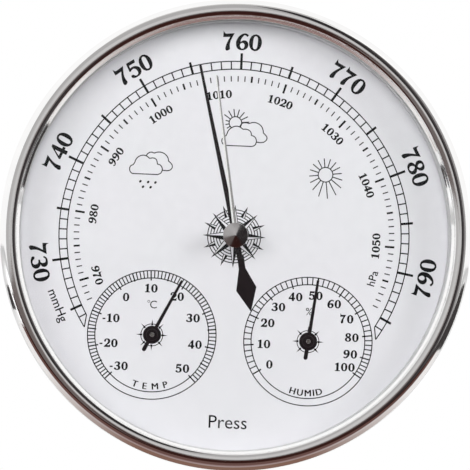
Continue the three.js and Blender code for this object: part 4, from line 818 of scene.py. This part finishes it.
# ---- set pointer
# A knob outside the glass turns a thin bright hand inside it, through a flanged bush in the glass.
# A bronze washer on the shank gives the pointer its drag.
SET_REST = -9.3
SET_HAND_OFFSET = 0.27
SET_HAND_BACK, SET_HAND_EDGE, SET_HUB_FRONT = 32.356, 32.5, 32.756
SHANK_RADIUS, SHANK_BORE, BUSH_BORE, BUSH_RADIUS, BUSH_FLANGE = 1.3, 1.35, 1.38, 1.98, 2.68
KNOB_RADIUS, KNOB_SEAT, KNOB_EDGE = 3.4, 36.656, 37.356
bush = turned([(BUSH_BORE, 33.356, 0.05), (BUSH_FLANGE, 33.356, 0.1), (BUSH_FLANGE, GLASS_SEAT, 0.1),
               (BUSH_RADIUS, GLASS_SEAT, 0), (BUSH_RADIUS, 36.056, 0), (BUSH_FLANGE, 36.056, 0.1),
               (BUSH_FLANGE, 36.556, 0.1), (BUSH_BORE, 36.556, 0.05)], HUB_STEPS)
glass_bush = make_piece(bush, "glass_bush", nickel_steel, "case")
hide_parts("lens_bush")
washer = turned_ring(SHANK_BORE, 2.15, 32.856, 33.256, 0.05, 0.1, HUB_STEPS)
drag_washer = make_piece(washer, "drag_washer", spring_bronze, "set_pointer")
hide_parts("set_spring_washer")

hand = bmesh.new()
for half, ridge, z in ((0.28, 0, 43.9), (0.62, -0.1, 0)):
    for x, height in ((-half, SET_HAND_BACK), (half, SET_HAND_BACK), (-half, SET_HAND_EDGE),
                      (half, SET_HAND_EDGE), (ridge, SET_HAND_EDGE + 0.24 * half)):
        hand.verts.new((x + SET_HAND_OFFSET, -height, z))
bmesh.ops.convex_hull(hand, input=hand.verts[:])
hub = turned([(0, SET_HAND_BACK, 0), (2.6, SET_HAND_BACK, 0.05), (2.6, SET_HUB_FRONT, 0.1),
              (0, SET_HUB_FRONT, 0)], HUB_STEPS)
hand = carved(hand, hub, "UNION")
bore = bmesh.new()
add_rod(bore, (0, 0), 32, 33, SHANK_BORE, HUB_STEPS)
hand = carved(hand, bore, "DIFFERENCE")
stand(hand, SET_REST)
bright_plate = finish("bright_nickel_plate", ((0.86, 0.85, 0.85), (0.90, 0.89, 0.89)), 5, (0.05, 0.09), 0.0,
                      metallic=1)
set_pointer_hand = make_piece(hand, "set_pointer_hand", bright_plate, "set_pointer", sharp=10, shadow=False)
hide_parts("set_hand")

turned_steel = finish("turned_steel", ((0.66, 0.65, 0.65), (0.72, 0.71, 0.71)), 2, (0.07, 0.11), 0.001,
                      metallic=1)
knob = turned([(0, SET_HAND_BACK, 0), (SHANK_RADIUS, SET_HAND_BACK, 0.1), (SHANK_RADIUS, KNOB_SEAT, 0),
               (KNOB_RADIUS, KNOB_SEAT, 0.15), (KNOB_RADIUS, KNOB_EDGE, 0.05), (0.3, 37.63, 0),
               (0, 37.645, 0)], 96)
turning_knob = make_piece(knob, "turning_knob", turned_steel, "set_pointer", sharp=10)
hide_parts("set_knob")


# ---- bezel
# A ring spun in thin steel and polished to a mirror: a round bead, a sloping flange over the glass
# and a straight skirt that is pressed over the mouth of the case.
BEZEL_CREST, CREST_RADIUS, BEZEL_RADIUS = 39.756, 61.26, 64
SKIRT_RADIUS, SKIRT_BORE = 63.2, 62.4
outer_slope = [(CREST_RADIUS + x, BEZEL_CREST - 0.054 * x ** 2 - 0.0136 * x ** 4, 0)
               for x in (2.5, 2.2, 1.9, 1.6, 1.3, 1.0, 0.65, 0.3, 0)]
inner_slope = [(CREST_RADIUS - x, BEZEL_CREST - 0.066 * x ** 2, 0) for x in (0.35, 0.7, 1.05, 1.4)]
flange = [(59.6, 39.56, 0.1), (59.45, 37.545, 0.1), (59.05, 37.33, 0.1), (58.68, 37.06, 0.08),
          (58.64, 36.056, 0.05)]
inside = [(62.2 + cos(radians(angle)), 37.956 + sin(radians(angle)), 0) for angle in range(190, -51, -20)]
skirt = [(SKIRT_BORE, SHOULDER, 0), (SKIRT_RADIUS, SHOULDER, 0.2), (SKIRT_RADIUS, 36.3, 0.3),
         (BEZEL_RADIUS, 37.0, 0.5), (BEZEL_RADIUS, 38.5, 0.3)]
ring = turned(skirt + outer_slope + inner_slope + flange + inside + [(SKIRT_BORE, 36.8, 0)], 256)
polished_steel = finish("polished_steel", ((0.93, 0.925, 0.92), (0.96, 0.955, 0.95)), 6, (0.04, 0.08), 0.0,
                        metallic=1)
bezel_ring = make_piece(ring, "bezel_ring", polished_steel, "case", sharp=50)
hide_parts("bezel")


# ---- floor, lights and camera
# A pale floor below the hung case, soft light from the front, both sides and behind, and a white surround.
# Dark and brown cards glow, though they are no lamps, and are seen by reflections alone: they paint the
# reflection of a room and a table in the polished steel. All is in metres.
CARD_PLANE, TABLE_PLANE, DARK_PLANE = -1.2, -1.19, -1.18
TABLE_LEVEL, FLOOR_LEVEL = -0.15, -0.16
PAINTED_TABLE_REFLECTION, PALE_REFLECTION_END = (0.036, 0.0125, 0.010), (0.86, 0.84, 0.83)
FADE_RANGE = (0.06, 0.20)


def glow(name, colour, end_colour):
    """A card's own glow, a painted reflection, that turns into another colour to the left and right of the
    middle.
    """
    material = bpy.data.materials.new(name)
    material.use_nodes = True
    nodes = material.node_tree.nodes
    place = nodes.new("ShaderNodeTexCoord")
    axes = nodes.new("ShaderNodeSeparateXYZ")
    offset = nodes.new("ShaderNodeMath")
    offset.operation = "ABSOLUTE"
    fade = nodes.new("ShaderNodeValToRGB")
    for stop, distance, tint in zip(fade.color_ramp.elements, FADE_RANGE, (colour, end_colour)):
        stop.position = distance
        stop.color = (*tint, 1)
    light = nodes.new("ShaderNodeEmission")
    wire(material, (place, "Object", axes, "Vector"), (axes, "X", offset, 0), (offset, "Value", fade, "Fac"),
         (fade, "Color", light, "Color"), (light, "Emission", nodes["Material Output"], "Surface"))
    return material


def flat_part(name, corners, material):
    """A flat part of the stage."""
    shape = bmesh.new()
    shape.faces.new([shape.verts.new(corner) for corner in corners])
    piece = to_object(shape, name)
    piece.data.materials.append(material)
    return piece


def card(name, corners, colour, end_colour=None):
    """A glowing card that only reflections see: a painted reflection, not a lamp."""
    piece = flat_part(name, corners, glow(name, colour, end_colour or colour))
    piece.visible_camera = piece.visible_diffuse = piece.visible_shadow = False


def front_card(name, outline, colour, end_colour=None, plane=CARD_PLANE):
    """A card that faces the dial from the front, with an outline of (x, z)."""
    card(name, [(x, plane, z) for x, z in outline], colour, end_colour)


def oblong(left, right, low, high):
    """The outline of an upright oblong."""
    return [(left, low), (right, low), (right, high), (left, high)]


def table_card(name, near, far, colour, end_colour=None, half=0.34):
    """A card that lies below the case, from y near to far, with both ends slanted to the front."""
    end = half * 0.37
    outline = [(0, near), (half, near - end), (half, far - end),
               (0, far), (-half, far - end), (-half, near - end)]
    card(name, [(x, y, TABLE_LEVEL) for x, y in outline], colour, end_colour)


# Painted reflections: each card's glowing colour is what the polished steel and the glass mirror there.
front_card("light_card", oblong(-0.5, 0.26, 0.24, 0.75), (0.43, 0.42, 0.42))
front_card("low_light_card", oblong(-0.5, 0.26, -0.2, 0.24), (0.58, 0.57, 0.57), (0.46, 0.45, 0.45))
front_card("table_top_card", oblong(-0.03, 0.26, -0.2, -0.03), PAINTED_TABLE_REFLECTION, plane=TABLE_PLANE)
front_card("table_edge_card", oblong(-0.03, 0.26, -0.03, 0.035), (0.19, 0.165, 0.16), plane=TABLE_PLANE)
front_card("table_left_card", [(-0.5, -0.2), (-0.03, -0.2), (-0.03, 0.035), (-0.5, -0.1)],
           (0.15, 0.125, 0.12), plane=TABLE_PLANE)
front_card("dark_card", [(0.175, -0.2), (0.26, -0.2), (0.26, 0.58), (0.075, 0.58)],
           (0.030, 0.026, 0.027), plane=DARK_PLANE)
front_card("dim_card", oblong(0.26, 0.42, -0.2, 0.58), (0.070, 0.062, 0.063))
front_card("right_card", oblong(0.42, 0.75, -0.2, 0.58), (0.33, 0.32, 0.32))
front_card("top_card", oblong(-0.5, 0.42, 0.75, 1.05), (0.62, 0.61, 0.60))
table_card("table_front_card", -0.55, -1.3, PAINTED_TABLE_REFLECTION, half=0.6)
table_card("table_middle_card", -0.2, -0.55, (0.14, 0.075, 0.066))
table_card("table_grey_card", -0.15, -0.2, (0.25, 0.16, 0.15), PALE_REFLECTION_END)
table_card("table_light_card", -0.10, -0.15, (0.36, 0.27, 0.26), PALE_REFLECTION_END)
table_card("table_card", 0.1, -0.10, (0.23, 0.13, 0.10), PALE_REFLECTION_END)
for name, outline in (("left_block_card", oblong(-0.62, -0.41, -0.45, 0)),
                      ("right_block_card", oblong(0.33, 1.2, -1.2, 0))):
    card(name, [(x, y, TABLE_LEVEL + 0.001) for x, y in outline], (0.05, 0.045, 0.045))

pale_floor = finish("pale_floor", ((0.80, 0.80, 0.80), (0.84, 0.84, 0.84)), 40, (0.7, 0.8), 0.0)
floor_shader = pale_floor.node_tree.nodes["Principled BSDF"]
floor_shader.inputs["Emission Color"].default_value = (1, 1, 1, 1)
floor_shader.inputs["Emission Strength"].default_value = 0.35
floor = flat_part("floor", [(x, y, FLOOR_LEVEL) for x, y in oblong(-3, 3, -3, 3)], pale_floor)
floor.visible_diffuse = False

for name, power, size, place in (
        ("top_light", 9.8, (0.5, 0.8), (-0.03, -1.4, 0.39)),
        ("left_light", 6.7, (0.6, 0.6), (-0.85, -1.2, 0.25)),
        ("right_light", 7.8, (0.6, 0.6), (1.15, -1.1, 0.4)),
        ("back_light", 8, (1, 1), (0.7, 1.5, 0.7))):
    light_data = bpy.data.lights.new(name, "AREA")
    light_data.shape = "RECTANGLE"
    light_data.energy = power
    light_data.size, light_data.size_y = size
    light = bpy.data.objects.new(name, light_data)
    light.location = place
    light.rotation_euler = (Vector((0, -0.03, 0)) - light.location).to_track_quat("-Z", "Y").to_euler()
    light.visible_glossy = light.visible_transmission = False
    scene.collection.objects.link(light)

scene.world = world = bpy.data.worlds.new("white_surround")
world.use_nodes = True
nodes = world.node_tree.nodes
ambient = nodes["Background"]
white = nodes.new("ShaderNodeBackground")
for background, strength in ((ambient, 0.14), (white, 1)):
    background.inputs["Color"].default_value = (1, 1, 1, 1)
    background.inputs["Strength"].default_value = strength
rays = nodes.new("ShaderNodeLightPath")
seen = (rays, "Is Camera Ray")
for kind in ("Is Glossy Ray", "Is Transmission Ray"):
    either = nodes.new("ShaderNodeMath")
    either.operation = "MAXIMUM"
    wire(world, (*seen, either, 0), (rays, kind, either, 1))
    seen = (either, "Value")
choice = nodes.new("ShaderNodeMixShader")
wire(world, (*seen, choice, "Fac"), (ambient, "Background", choice, 1), (white, "Background", choice, 2),
     (choice, "Shader", nodes["World Output"], "Surface"))

CAMERA_DISTANCE = 2.5
CAMERA_TURN, CAMERA_RISE, CAMERA_ROLL = radians(-2.5), radians(-2.2), radians(2.4)
PHOTO_PIXELS, PIXEL = 470, 0.2712 * MM
aim = Vector((-0.0002, -0.038, 0))
camera_data = bpy.data.cameras.new("camera")
camera_data.lens = camera_data.sensor_width * CAMERA_DISTANCE / (PHOTO_PIXELS * PIXEL)
camera = bpy.data.objects.new("camera", camera_data)
direction = Vector((sin(CAMERA_TURN) * cos(CAMERA_RISE), -cos(CAMERA_TURN) * cos(CAMERA_RISE),
                    sin(CAMERA_RISE)))
look = (-direction).to_track_quat("-Z", "Y").to_matrix().to_4x4() @ Matrix.Rotation(CAMERA_ROLL, 4, "Z")
camera.matrix_world = Matrix.Translation(aim + CAMERA_DISTANCE * direction) @ look
scene.collection.objects.link(camera)
scene.camera = camera
